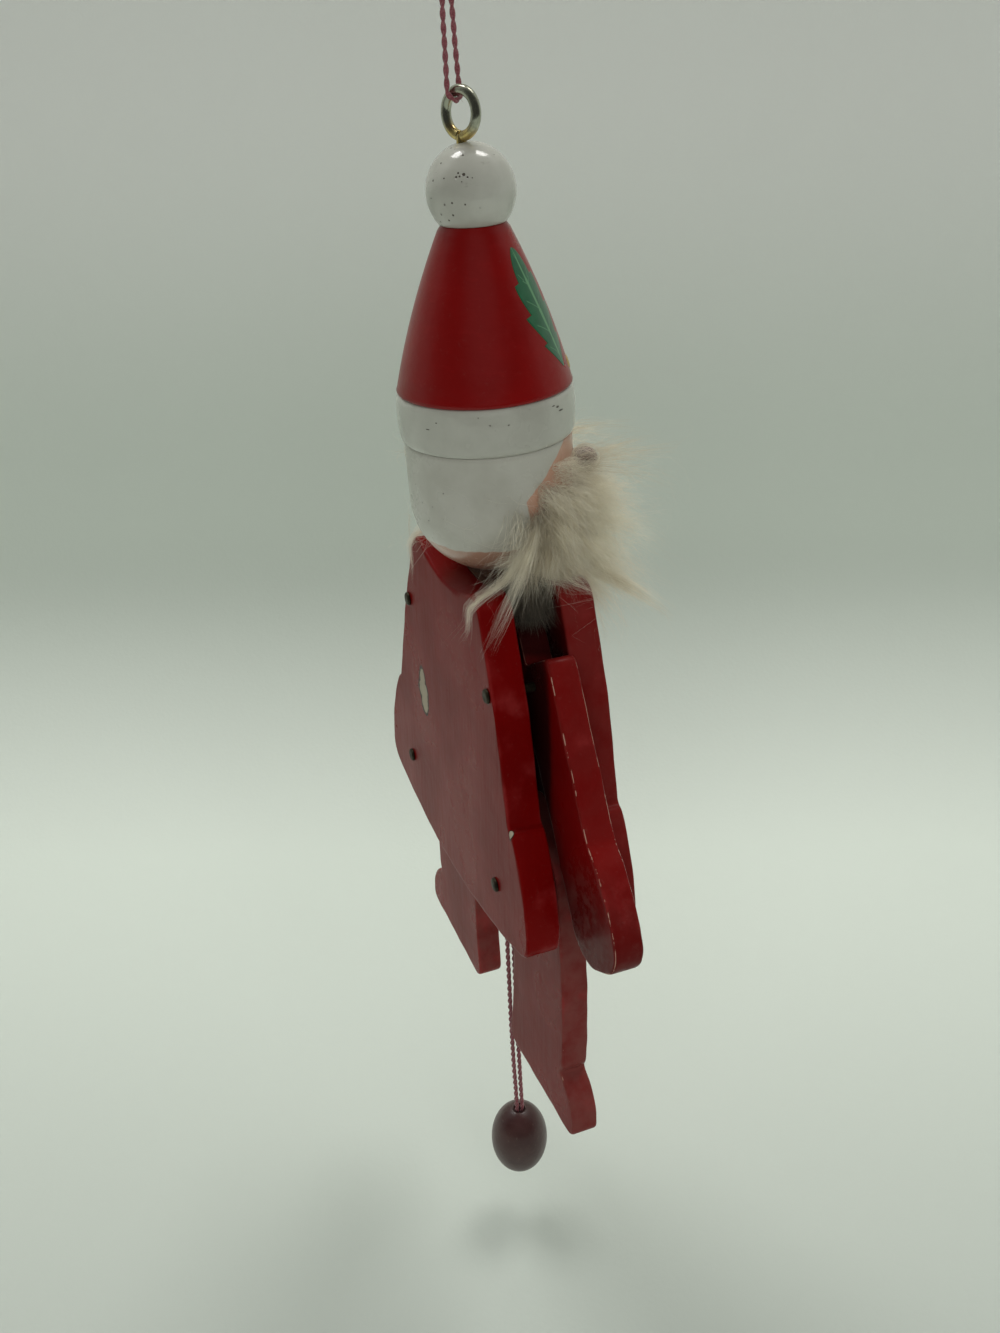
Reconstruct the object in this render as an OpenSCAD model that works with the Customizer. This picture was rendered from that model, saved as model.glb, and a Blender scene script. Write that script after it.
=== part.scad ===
// A wooden jumping jack: a bearded winter figure in a red coat and pointed cap.
// Two flat boards hold the arms and legs between them on four nails.
// Strings join the inner tails of the limbs to one pull cord with a bead.
// Upright is +Z, the face looks along -Y and the figure's right hand is at -X.
// The origin is the middle of the screw eye that the toy hangs by.

/* [Boards] */
// thickness of the front and back boards
board_thick = 5; // [3:0.5:8]
// room between the two boards
board_gap = 6.8; // [5:0.1:10]
// half width of the body at the shoulder corners
shoulder_half = 13.8; // [10:0.2:20]
// half width of the body just above the waist step
waist_half = 23.8; // [18:0.2:30]
// how far the coat steps out below the waist
waist_step = 1.1; // [0:0.1:3]
// half width of the coat at its hem
hem_half = 30.4; // [24:0.2:38]
// height from the neck line down to the waist step
waist_drop = 26.2; // [18:0.2:34]
// height of the body from the neck line down to the hem
body_tall = 49.1; // [40:0.1:60]
// rounding of the hem corners
hem_round = 3; // [1:0.5:6]
// how much lower the hem hangs in its middle
hem_curve = 4.1; // [0:0.1:8]

/* [Neck] */
// backward tilt of the head in degrees
head_tilt = 3.2; // [0:0.2:8]
// half width of the scooped neck line
scoop_half = 10.6; // [8:0.2:13]
// height of the scoop's two tips above the neck line
scoop_top = 3.4; // [2:0.1:5]
// depth of the scoop
scoop_depth = 2.4; // [1:0.1:4]

/* [Arms] */
// thickness of arms and legs
limb_thick = 4.2; // [3:0.1:5.5]
// outward swing of the hanging arm in degrees
arm_splay = 32; // [20:1:45]
// height from the neck line down to the shoulder nails
shoulder_drop = 8.9; // [6:0.1:12]
// distance of each shoulder nail from the middle
shoulder_x = 16.9; // [13:0.1:20]
// sleeve width outside the nail
sleeve_out = 6.7; // [4:0.1:9]
// sleeve width inside the nail
sleeve_in = 5.4; // [4:0.1:8]
// length from the nail down to the cuff
sleeve_len = 21.9; // [16:0.1:28]
// length from the nail down to the mitten's tip
arm_len = 39.1; // [30:0.1:48]

/* [Legs] */
// height of the hip nails above the hem
hip_rise = 10.2; // [7:0.1:14]
// distance of each hip nail from the middle
hip_x = 19; // [15:0.1:23]
// length from the hip nail down to the sole
leg_len = 42.9; // [34:0.1:50]
// length from the hip nail down to the boot top
trouser_len = 30.6; // [22:0.1:36]

/* [Pull mechanism] */
// reach from each nail to its limb's string hole
arm_lever = 8; // [6:0.1:10]
// the same reach on the legs
leg_lever = 9.5; // [7:0.1:11]
// angle of the arm's string hole above the nail
arm_tail_angle = 25; // [15:1:45]
// angle of the leg's string hole above the nail
leg_tail_angle = 35; // [25:1:50]
// thickness of every cord
cord_d = 0.7; // [0.5:0.05:1.2]
// width of the bead on the pull cord
bead_d = 10.5; // [8:0.1:14]
// height of the bead
bead_h = 14.8; // [10:0.1:18]
// distance from the hem down to the bead's middle
bead_below = 66.9; // [50:0.1:90]

/* [Head] */
// radius of the head
head_r = 11.4; // [9:0.1:14]
// height of the head from the neck line up to the white band
head_tall = 21.9; // [18:0.1:26]
// height of the white band
band_tall = 6.4; // [4:0.1:9]
// height of the red cap
cap_tall = 20.4; // [14:0.1:30]
// radius of the cap's flat tip
cap_tip_r = 4.25; // [3:0.05:5.5]
// radius of the bobble
bobble_r = 5.63; // [4:0.01:8]
// radius of the nose
nose_r = 1.65; // [1:0.05:3]

/* [Metal] */
// thickness of the screw eye's wire
eye_wire = 1.25; // [0.8:0.05:2]
// width of the screw eye from wire middle to wire middle
eye_d = 5.04; // [4:0.01:8]
// width of a nail's flat head
nail_head_d = 2.1; // [1.6:0.1:3]
// thickness of a nail's shank
nail_d = 1.2; // [0.9:0.05:1.6]

/* [Hidden] */
$fn = 96;
seat = 0.05; // clearance at every running or drilled fit
over = 1; // overrun of every cut

// layers from back to front
back_face = board_gap / 2 + board_thick;
gap_face = board_gap / 2;
limb_mid = -0.5;
limb_back = limb_mid + limb_thick / 2;
knot_r = 0.75;
string_y = limb_back + knot_r;
nail_sink = 3.6;

// heights above the neck line, from the head up
head_mid = head_tall * 0.612;
nose_z = head_tall * 0.7;
band_low = head_tall;
cap_low = band_low + band_tall;
cap_top = cap_low + cap_tall;
bobble_mid = cap_top + sqrt(bobble_r * bobble_r - cap_tip_r * cap_tip_r);

// the head leans back from the neck line, and the eye stands a little behind its middle
eye_back = 0.6;
eye_out = eye_d / 2 + eye_wire / 2;
eye_mid = bobble_mid + bobble_r + eye_out - seat / 2;
neck_y = -eye_mid * sin(head_tilt) - eye_back * cos(head_tilt);
neck_z = eye_back * sin(head_tilt) - eye_mid * cos(head_tilt);
neck = [0, neck_y, neck_z];

// where the nails and string holes sit, for the left side
shoulder = [shoulder_x, -shoulder_drop];
hip = [hip_x, hip_rise - body_tall];
arm_tail = arm_lever * [-cos(arm_tail_angle), sin(arm_tail_angle)];
leg_tail = leg_lever * [-cos(leg_tail_angle), sin(leg_tail_angle)];

red = [0.62, 0.03, 0.04];
white = [0.86, 0.85, 0.8];
brass = [0.75, 0.6, 0.3];
thread = [0.5, 0.16, 0.2];

// points on an arc from p to q that stands out by rise on the left of the way
function arc_pts(p, q, rise, n = 10) =
  let (d = q - p, far = norm(d), side = [-d[1], d[0]] / far)
  let (r = (far * far / 4 + rise * rise) / (2 * rise))
  let (c = (p + q) / 2 + side * (rise - r), mid = atan2(side[1], side[0]))
  let (half = asin(far / 2 / r))
  [for (i = [0 : n]) c + r * [cos(mid + half - 2 * half * i / n), sin(mid + half - 2 * half * i / n)]];

// points on a round corner of radius r about c
function corner(c, r, from, to, n = 6) =
  [for (i = [0 : n]) let (a = from + (to - from) * i / n) c + r * [cos(a), sin(a)]];

// the points without the first and last
function inner(pts) = [for (i = [1 : len(pts) - 2]) pts[i]];

// the same points on the other side, in the opposite order
function mirrored(pts) = [for (i = [len(pts) - 1 : -1 : 0]) [-pts[i][0], pts[i][1]]];

function unit(v) = v / norm(v);

// a smooth way through the route's points, n steps between each two
function smooth(route, n) =
  let (last = len(route) - 1)
  concat(
    [for (i = [0 : last - 1], k = [0 : n - 1])
      let (a = route[max(i - 1, 0)], b = route[i], c = route[i + 1], d = route[min(i + 2, last)])
      let (t = k / n)
      0.5 * (2 * b + (c - a) * t + (2 * a - 5 * b + 4 * c - d) * t * t + (3 * b - a - 3 * c + d) * t * t * t)],
    [route[last]]);

// a round cord along the way, its rings hole by a fixed side direction
module cord(way, r, side, sides = 8) {
  last = len(way) - 1;
  rings = [for (i = [0 : last])
    let (t = unit(way[min(i + 1, last)] - way[max(i - 1, 0)]))
    let (u = unit(side - t * (side * t)), w = cross(t, u))
    for (k = [0 : sides - 1]) way[i] + r * (cos(360 * k / sides) * u + sin(360 * k / sides) * w)];
  polyhedron(
    points = rings,
    faces = concat(
      [[for (k = [0 : sides - 1]) k]],
      [[for (k = [sides - 1 : -1 : 0]) last * sides + k]],
      [for (i = [0 : last - 1], k = [0 : sides - 1])
        let (a = i * sides + k, b = i * sides + (k + 1) % sides)
        [a, a + sides, b + sides, b]]),
    convexity = 8);
}

// a flat outline made solid between two distances along Y
module plate(rear, thick) {
  translate([0, rear, 0]) rotate([90, 0, 0]) linear_extrude(thick) children();
}

// a round bar along Y at a place in the board's plane
module cross_bar(at, rear, length, r) {
  translate([at[0], rear, at[1]]) rotate([90, 0, 0]) cylinder(h = length, r = r);
}

// everything measured from the neck line
module at_neck() translate(neck) children();
module at_head() translate(neck) rotate([-head_tilt, 0, 0]) children();

// outline of both boards: scooped neck, sloping shoulders, stepped waist, flared hem
side_bulge = 0.95;
skirt_bulge = 1.3;
tip_bulge = 0.4;
shoulder_top = 2.2;
hem_turn = 75;
module board_outline() {
  waist = [waist_half, -waist_drop];
  skirt = [waist_half + waist_step, -waist_drop];
  hem = [hem_half, hem_round + hem_curve - body_tall];
  tip = [scoop_half, scoop_top];
  corner_top = [shoulder_half, shoulder_top];
  low = hem + hem_round * [cos(hem_turn) - 1, -sin(hem_turn)];
  right = concat(
    inner(arc_pts(tip, corner_top, tip_bulge, 4)),
    arc_pts(corner_top, waist, side_bulge, 12),
    arc_pts(skirt, hem, skirt_bulge, 10),
    inner(corner(hem - [hem_round, 0], hem_round, 0, -hem_turn)));
  polygon(concat(
    arc_pts([-scoop_half, scoop_top], tip, -scoop_depth, 14),
    right,
    arc_pts(low, [-low[0], low[1]], body_tall + low[1], 20),
    mirrored(right)));
}

module nail_places() {
  for (side = [-1, 1], at = [shoulder, hip]) translate([side * at[0], 0, at[1]]) children();
}

module back_board() {
  color(red) at_neck() difference() {
    plate(back_face, board_thick) board_outline();
    nail_places() cross_bar([0, 0], back_face + over, board_thick + 2 * over, nail_d / 2);
  }
}

module front_board() {
  color(red) at_neck() difference() {
    plate(-gap_face, board_thick) board_outline();
    nail_places() cross_bar([0, 0], over - gap_face, nail_sink + over, nail_d / 2);
  }
}

// block glued between the boards under the head, drilled for the neck peg
block_half = 5;
block_top = 1;
block_low = -4;
peg_r = 2.5;
peg_low = -3.4;
peg_top = 10;
module neck_block() {
  color("burlywood") difference() {
    at_neck() translate([-block_half, -gap_face, block_low])
      cube([2 * block_half, board_gap, block_top - block_low]);
    at_head() translate([0, 0, peg_low - over]) cylinder(h = peg_top, r = peg_r);
  }
}

module neck_peg() {
  color("burlywood") at_head() translate([0, 0, peg_low]) cylinder(h = peg_top - peg_low, r = peg_r);
}

// the hole head: a round underside that runs up into a straight cheek
head_round = 10.9;
nose_low = 8.5;
nose_mid = 16.1;
module head_ball() {
  color(white) at_head() difference() {
    rotate_extrude() polygon(concat(
      [[0, band_low], [0, head_mid - head_round]],
      [for (a = [-84 : 7 : 0]) [head_r * cos(a), head_mid + head_round * sin(a)]],
      [[head_r - seat, band_low]]));
    translate([0, 0, -over]) cylinder(h = peg_top + over, r = peg_r);
    translate([0, -nose_low, nose_z]) rotate([90, 0, 0]) cylinder(h = head_r, r = nose_r);
  }
}

module nose() {
  color([0.7, 0.2, 0.18]) at_head() translate([0, -nose_low, nose_z]) rotate([90, 0, 0]) {
    cylinder(h = nose_mid - nose_low, r = nose_r);
    translate([0, 0, nose_mid - nose_low]) sphere(r = nose_r);
  }
}

// the band around the cap, a little fuller than the head under it
band_full = 0.55;
band_bulge = 0.25;
cap_r = 11.7;
module cap_band() {
  color(white) at_head() rotate_extrude() polygon(concat(
    [[0, cap_low], [0, band_low]],
    [for (p = mirrored(arc_pts([-cap_r, cap_low], [-head_r - band_full / 2, band_low], -band_bulge, 8))) p]));
}

// the pointed cap: its sides swell a little, its tip is cut flat for the bobble
cap_bulge = 0.6;
screw_deep = 8;
shank_low = eye_mid - cap_top + screw_deep;
module cap_cone() {
  color(red) difference() {
    at_head() rotate_extrude() polygon(concat(
      [[0, cap_top], [0, cap_low]],
      mirrored(arc_pts([-cap_tip_r, cap_top], [-cap_r, cap_low], -cap_bulge, 14))));
    eye_shank(0);
  }
}

module cap_bobble() {
  color(white) difference() {
    at_head() difference() {
      translate([0, 0, bobble_mid]) sphere(r = bobble_r);
      translate([0, 0, cap_top - 2 * bobble_r]) cylinder(h = 2 * bobble_r, r = 2 * bobble_r);
    }
    eye_shank(0);
  }
}

// a ring of wire on a straight upright shank, turned a little on the shank's axis
eye_turn = 25;
module eye_shank(top) {
  translate([0, 0, -shank_low]) cylinder(h = shank_low + top, d = eye_wire);
}

module screw_eye() {
  color(brass) rotate([0, 0, eye_turn]) {
    rotate([90, 0, 0]) rotate_extrude() translate([eye_d / 2, 0]) circle(d = eye_wire);
    eye_shank(-eye_d / 2);
  }
}

// the beard as one plain closed mass around the face, longest in front
beard_in = 11.2;
beard_front = 14;
beard_side = 4.5;
beard_end = 0.8;
beard_span = 74;
beard_gap = 1.4;
beard_high = head_tall - beard_gap;
beard_lip = nose_z - nose_r - nose_r / 4;
beard_tip = -13;
beard_nape = 4.2;
beard_cols = 28;
beard_rows = 12;
function ease(x) = let (t = min(max(x, 0), 1)) t * t * (3 - 2 * t);
function beard_wide(a) =
  beard_end + (beard_side - beard_end) * ease((beard_span - abs(a)) / 20)
  + (beard_front - beard_side) * ease((beard_span - abs(a)) / 70);
function beard_up(a) = beard_lip + (beard_high - beard_lip) * ease((abs(a) - 12) / 30);
function beard_down(a) = beard_tip + (beard_nape - beard_tip) * ease(abs(a) / 40);
module beard() {
  loop = beard_rows + 1;
  pts = [for (i = [0 : beard_cols])
    let (a = beard_span * (2 * i / beard_cols - 1), up = beard_up(a), low = beard_down(a))
    for (k = [0 : beard_rows])
      let (t = 90 - 180 * k / beard_rows)
      let (r = beard_in + beard_wide(a) * pow(abs(cos(t)), 0.7))
      [r * sin(a), -r * cos(a), (up + low) / 2 + (up - low) / 2 * sin(t)]];
  color([0.8, 0.78, 0.68]) at_head() polyhedron(
    points = pts,
    faces = concat(
      [[for (k = [0 : beard_rows]) k]],
      [[for (k = [beard_rows : -1 : 0]) beard_cols * loop + k]],
      [for (i = [0 : beard_cols - 1], k = [0 : beard_rows])
        let (b = (k + 1) % loop)
        [i * loop + k, (i + 1) * loop + k, (i + 1) * loop + b, i * loop + b]]),
    convexity = 6);
}

// arm outline about its nail, hanging straight down: tail tab, sleeve, cuff and mitten
arm_top = 3.1;
tab_r = 2.6;
cuff_out = 1.4;
mitten_out = 8.9;
mitten_in = 5;
mitten_r = 5.2;
module arm_outline() {
  // the string hole's place before the arm is swung out
  hole = arm_lever * [-cos(arm_tail_angle + arm_splay), sin(arm_tail_angle + arm_splay)];
  cuff = [sleeve_out + cuff_out, -sleeve_len - 2 * cuff_out];
  difference() {
    polygon(concat(
      corner(hole, tab_r, 180, 0, 12),
      [[hole[0] + tab_r, arm_top]],
      corner([sleeve_out - nail_d, arm_top - nail_d], nail_d, 90, 0),
      [[sleeve_out, -sleeve_len]],
      arc_pts(cuff, [mitten_out, mitten_r - arm_len], cuff_out / 4, 5),
      corner([mitten_out - mitten_r, mitten_r - arm_len], mitten_r, 0, -90, 8),
      corner([mitten_r - mitten_in, mitten_r - arm_len], mitten_r, -90, -180, 8),
      [[-mitten_in, -sleeve_len], [-sleeve_in, -sleeve_len / 2]]));
    circle(r = nail_d / 2 + seat);
    translate(hole) circle(d = cord_d + 2 * seat);
  }
}

module left_arm() {
  color(red) at_neck() translate([shoulder[0], 0, shoulder[1]]) rotate([0, -arm_splay, 0])
    plate(limb_back, limb_thick) arm_outline();
}

module right_arm() {
  color(red) at_neck() translate([-shoulder[0], 0, shoulder[1]]) rotate([0, arm_splay, 0])
    plate(limb_back, limb_thick) mirror([1, 0]) arm_outline();
}

// leg outline about its nail: string tail, trouser leg, hem notch and boot
hip_r = 6.3;
tail_r = 2.7;
leg_in = 10.6;
leg_out = 9;
hem_notch = 0.8;
toe_out = 13.2;
heel_in = 11.8;
toe_r = 2;
heel_r = 2.4;
sole_rise = 1.2;
module leg_outline() {
  // where the straight edge touches both round ends
  touch = acos((tail_r - hip_r) / leg_lever) - leg_tail_angle;
  notch = [leg_out - hem_notch, -trouser_len - 2 * hem_notch];
  toe = [toe_out, toe_r + sole_rise - leg_len];
  difference() {
    polygon(concat(
      corner(leg_tail, tail_r, 180, touch, 8),
      corner([0, 0], hip_r, touch, 0, 8),
      arc_pts([hip_r, -hem_notch], [leg_out, -trouser_len], hem_notch, 8),
      arc_pts(notch, toe, cuff_out, 7),
      corner(toe - [toe_r, 0], toe_r, 0, -85),
      corner([heel_r - heel_in, heel_r - leg_len], heel_r, -92, -180),
      [[-leg_in, notch[1]], [-leg_in, -trouser_len]]));
    circle(r = nail_d / 2 + seat);
    translate(leg_tail) circle(d = cord_d + 2 * seat);
  }
}

module left_leg() {
  color(red) at_neck() translate([hip[0], 0, hip[1]]) plate(limb_back, limb_thick) leg_outline();
}

module right_leg() {
  color(red) at_neck() translate([-hip[0], 0, hip[1]])
    plate(limb_back, limb_thick) mirror([1, 0]) leg_outline();
}

// a small nail from the back face through the limb into the front board
nail_head_thick = 0.5;
module nail(at) {
  color("dimgray") at_neck() {
    cross_bar(at, back_face + nail_head_thick, nail_head_thick, nail_head_d / 2);
    cross_bar(at, back_face, back_face + gap_face + nail_sink, nail_d / 2);
  }
}

module left_shoulder_nail() nail(shoulder);
module right_shoulder_nail() nail([-shoulder[0], shoulder[1]]);
module left_hip_nail() nail(hip);
module right_hip_nail() nail([-hip[0], hip[1]]);

// thread held in a limb's string hole, with its knot on the rear face
module tie(at) {
  color(thread) at_neck() translate([at[0], 0, at[1]]) {
    translate([0, string_y, 0]) sphere(r = knot_r, $fn = 24);
    rotate([90, 0, 0]) translate([0, 0, -string_y])
      cylinder(h = string_y - limb_back + limb_thick, d = cord_d);
  }
}

arm_tie = shoulder + arm_tail;
leg_tie = hip + leg_tail;
module left_arm_tie() tie(arm_tie);
module right_arm_tie() tie([-arm_tie[0], arm_tie[1]]);
module left_leg_tie() tie(leg_tie);
module right_leg_tie() tie([-leg_tie[0], leg_tie[1]]);

// the pull line runs straight from the arm string to the bead
string_sag = 4.1;
pull_fore = 0.4;
bead_fore = 2.9;
pull_top = [0, pull_fore, arm_tie[1] - string_sag];
bead_mid = [0, -bead_fore, -body_tall - bead_below];
pull_run = bead_mid - pull_top;
leg_vertex = pull_top + pull_run * (leg_tie[1] - string_sag - pull_top[2]) / pull_run[2];
string_gap = knot_r + cord_d;

// half of a cross string from its limb's tie down to the middle
function half_string(at, mid) = [
  [at[0] - string_gap, string_y, at[1] - cord_d / 2],
  [at[0] * 0.7, string_y, at[1] * 0.7 + mid[2] * 0.3],
  [at[0] * 0.35, (string_y + mid[1]) / 2, at[1] * 0.3 + mid[2] * 0.7]];
function cross_route(at, mid) =
  let (left = half_string(at, mid))
  concat(left, [mid], [for (i = [2 : -1 : 0]) [-left[i][0], left[i][1], left[i][2]]]);

module arm_string() {
  color(thread) at_neck() cord(smooth(cross_route(arm_tie, pull_top), 5), cord_d / 2, [0, 1, 0]);
}

line_knot_r = 1.2;
module leg_string() {
  color(thread) at_neck() {
    cord(smooth(cross_route(leg_tie, leg_vertex), 5), cord_d / 2, [0, 1, 0]);
    translate(leg_vertex) sphere(r = line_knot_r, $fn = 24);
  }
}

// one thread folded over the arm string, both ends knotted under the bead
fold_r = cord_d + seat;
strand_half = 0.72;
strand_in_bead = 0.5;
turn_steps = 8;
bore_r = strand_in_bead + cord_d / 2 + seat;
bead_knot_r = 1.15;
knot_drop = bead_h / 2 + strand_in_bead + 2 * seat;
run_shares = [0.25, 0.5, 0.75];
module pull_cord() {
  way = smooth(concat(
    [pull_top - [0, 0, fold_r]],
    [for (share = run_shares) pull_top + pull_run * share],
    [bead_mid + [0, 0, bead_h / 2 + cord_d], bead_mid, bead_mid - [0, 0, knot_drop]]), 6);
  half = smooth(concat(
    [[fold_r, 0]],
    [for (share = run_shares) [strand_half, 0]],
    [[strand_in_bead, 0], [strand_in_bead, 0], [strand_in_bead, 0]]), 6);
  last = len(way) - 1;
  turn = [for (i = [0 : turn_steps])
    pull_top + fold_r * [0, cos(180 * i / turn_steps), sin(180 * i / turn_steps)]];
  color(thread) at_neck() cord(concat(
    [for (i = [last : -1 : 0]) way[i] + [0, half[i][0], 0]],
    turn,
    [for (i = [0 : last]) way[i] - [0, half[i][0], 0]]), cord_d / 2, [1, 0, 0]);
}

module pull_bead() {
  color([0.3, 0.14, 0.12]) at_neck() translate(bead_mid) difference() {
    rotate_extrude() polygon([for (a = [-90 : 7.5 : 90]) [bead_d / 2 * cos(a), bead_h / 2 * sin(a)]]);
    translate([0, 0, -bead_h]) cylinder(h = 2 * bead_h, r = bore_r);
  }
}

module bead_knot() {
  color(thread) at_neck() translate(bead_mid - [0, 0, knot_drop]) sphere(r = bead_knot_r, $fn = 24);
}

// the hanging thread passes under the eye's wire near its top and up to its knot
hang_up = 15;
hang_mid = 4.5;
hang_lean = 0.7;
hang_knot_r = 1.3;
hang_r = eye_wire / 2 + cord_d / 2 + seat;
eye_slip = 28;
hang_in = [sin(eye_slip) * cos(eye_turn), sin(eye_slip) * sin(eye_turn), cos(eye_slip)];
hang_wire = eye_d / 2 * hang_in;
hang_top = hang_wire + [0, hang_lean, hang_up];
function strand(side) = [
  hang_wire + hang_r * side,
  hang_wire + hang_r * 0.85 * side + [0, hang_lean / 3, hang_mid],
  hang_wire + hang_r * 0.75 * side + [0, 2 * hang_lean / 3, 2 * hang_mid],
  hang_top + cord_d * 0.55 * side];
module hanging_cord() {
  out = [-sin(eye_turn), cos(eye_turn), 0];
  rear = smooth(strand(out), 5);
  front = smooth(strand(-out), 5);
  turn = [for (i = [1 : turn_steps - 1])
    hang_wire + hang_r * (cos(180 * i / turn_steps) * out - sin(180 * i / turn_steps) * hang_in)];
  color(thread) cord(concat([for (i = [len(rear) - 1 : -1 : 0]) rear[i]], turn, front),
    cord_d / 2, [out[1], -out[0], 0]);
}

module hanging_knot() {
  color(thread) translate(hang_top) {
    sphere(r = hang_knot_r, $fn = 24);
    cylinder(h = 2 * hang_knot_r, d = cord_d);
  }
}

back_board();
front_board();
neck_block();
neck_peg();
head_ball();
nose();
beard();
cap_band();
cap_cone();
cap_bobble();
screw_eye();
left_arm();
right_arm();
left_leg();
right_leg();
left_shoulder_nail();
right_shoulder_nail();
left_hip_nail();
right_hip_nail();
left_arm_tie();
right_arm_tie();
left_leg_tie();
right_leg_tie();
arm_string();
leg_string();
pull_cord();
pull_bead();
bead_knot();
hanging_cord();
hanging_knot();
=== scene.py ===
"""Looks for a wooden pull string jumping jack: a bearded figure in a red coat and pointed cap.

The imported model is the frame. Sawn boards and limbs, turned head and cap, wire eye, nails,
twisted threads and the fur beard are computed here as surfaces in the same frame.
Lengths are millimetres from the neck line unless a comment says otherwise.
"""
import bpy
import numpy as np
from mathutils import Matrix, Vector


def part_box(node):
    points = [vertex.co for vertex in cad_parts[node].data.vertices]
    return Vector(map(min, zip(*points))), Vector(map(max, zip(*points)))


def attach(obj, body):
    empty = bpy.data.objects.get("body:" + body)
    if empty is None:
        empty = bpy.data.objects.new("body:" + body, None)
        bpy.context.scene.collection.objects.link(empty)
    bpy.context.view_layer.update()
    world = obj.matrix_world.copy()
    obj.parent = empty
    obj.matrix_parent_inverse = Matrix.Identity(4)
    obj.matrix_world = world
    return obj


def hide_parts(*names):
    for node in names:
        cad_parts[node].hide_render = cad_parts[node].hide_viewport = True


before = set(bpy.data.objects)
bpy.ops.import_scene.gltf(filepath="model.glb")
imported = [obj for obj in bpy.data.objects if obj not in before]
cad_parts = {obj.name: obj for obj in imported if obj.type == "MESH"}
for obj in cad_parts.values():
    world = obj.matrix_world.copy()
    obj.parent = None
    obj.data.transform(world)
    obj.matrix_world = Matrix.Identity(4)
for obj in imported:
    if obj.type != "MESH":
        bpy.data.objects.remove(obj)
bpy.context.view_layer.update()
rng = np.random.default_rng(11)

MM = 0.001
NECK = np.array([0.0, -4.0121, -61.0137])
TILT = np.radians(3.2)
SIDES = (("left", 1), ("right", -1))
# sizes that several pieces share
CORD_D = 0.7
EYE_D, EYE_WIRE, EYE_TURN = 5.04, 1.25, np.radians(25)
BACK_FACE, GAP_FACE = 8.4, 3.4
LIMB_BACK, LIMB_FRONT = 1.6, -2.6


def at_neck(p):
    """Points measured from the neck line, in mm, as row frame points in metres."""
    return (np.asarray(p, float) + NECK) * MM


def at_head(p):
    """Points on the head's leaning axis, in mm, as row frame points in metres."""
    x, y, z = np.moveaxis(np.asarray(p, float), -1, 0)
    c, s = np.cos(TILT), np.sin(TILT)
    return at_neck(np.stack([x, y * c + z * s, z * c - y * s], -1))


def make_camera():
    """The photograph's view: high behind the figure's right side."""
    right, up = (-0.3728, -0.9279, -0.0109), (0.4324, -0.1841, 0.8827)
    back = (-0.8210, 0.3243, 0.4698)
    data = bpy.data.cameras.new("camera")
    data.sensor_fit = "VERTICAL"
    data.sensor_height = 36
    data.lens = 32.416
    data.clip_start = 0.005
    camera = bpy.data.objects.new("camera", data)
    turn = Matrix((right, up, back)).transposed().to_4x4()
    camera.matrix_world = Matrix.Translation((-0.14744, 0.05410, 0.00889)) @ turn
    bpy.context.scene.collection.objects.link(camera)
    bpy.context.scene.camera = camera


make_camera()


# surfaces
def grid_quads(rows, cols, close_rows=False, close_cols=False):
    """Quads of a rows by cols grid of points, wrapped round where asked."""
    i = np.arange(rows if close_rows else rows - 1)[:, None]
    j = np.arange(cols if close_cols else cols - 1)[None, :]
    below, beside = (i + 1) % rows * cols, (j + 1) % cols
    return np.stack([i * cols + j, i * cols + beside, below + beside, below + j], -1).reshape(-1, 4)


def tube(rows, cols, inside_out=False):
    """Quads round a tube of rows by cols points, and the two flat caps that close it."""
    faces = grid_quads(rows, cols, close_cols=True)
    caps = [np.arange(cols)[::-1], np.arange(cols) + (rows - 1) * cols]
    return (faces[:, ::-1], [cap[::-1] for cap in caps]) if inside_out else (faces, caps)


def spun(r, z, angles):
    """(r cos a, r sin a, z): each profile point carried round the axis."""
    flat = r * np.cos(angles), r * np.sin(angles)
    return np.stack([*flat, np.broadcast_to(z, flat[0].shape)], -1)


def piece(name, points, faces, body, material, nodes=(), marks=None, extra=()):
    """A smooth mesh from whole arrays. faces are equal-sized rows, extra holds the few flat caps."""
    mesh = bpy.data.meshes.new(name)
    points = np.asarray(points, np.float32).reshape(-1, 3)
    sizes = np.concatenate([np.full(len(faces), 4), [len(e) for e in extra]]).astype(np.int32)
    corners = np.concatenate([np.ravel(faces), *extra]).astype(np.int32)
    mesh.vertices.add(len(points))
    mesh.vertices.foreach_set("co", points.ravel())
    mesh.loops.add(len(corners))
    mesh.loops.foreach_set("vertex_index", corners)
    mesh.polygons.add(len(sizes))
    mesh.polygons.foreach_set("loop_start", (np.cumsum(sizes) - sizes).astype(np.int32))
    mesh.polygons.foreach_set("loop_total", sizes)
    mesh.polygons.foreach_set("use_smooth", np.arange(len(sizes)) < len(faces))
    mesh.update(calc_edges=True)
    for key, values in (marks or {}).items():
        mark = mesh.attributes.new(key, "FLOAT", "POINT")
        mark.data.foreach_set("value", np.asarray(values, np.float32).ravel())
    mesh.validate()
    mesh.materials.append(material)
    obj = bpy.data.objects.new(name, mesh)
    bpy.context.scene.collection.objects.link(obj)
    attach(obj, body)
    if nodes:
        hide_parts(*nodes)
    return obj


def unit(v):
    return v / np.linalg.norm(v, axis=-1, keepdims=True)


def ring_steps(count):
    """Even angles once round."""
    return np.linspace(0, 2 * np.pi, count, endpoint=False)


def smooth_way(route, steps):
    """Catmull-Rom way through the route's points, steps to each stretch."""
    p = np.asarray(route, float)
    last = len(p) - 1
    i = np.arange(last)
    a, b, c, d = (p[np.clip(i + k, 0, last)][:, None, :] for k in (-1, 0, 1, 2))
    t = (np.arange(steps) / steps)[None, :, None]
    bend, curl = 2 * a - 5 * b + 4 * c - d, 3 * b - a - 3 * c + d
    way = 0.5 * (2 * b + (c - a) * t + bend * t**2 + curl * t**3)
    return np.concatenate([way.reshape(-1, p.shape[1]), p[last:]])


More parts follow.
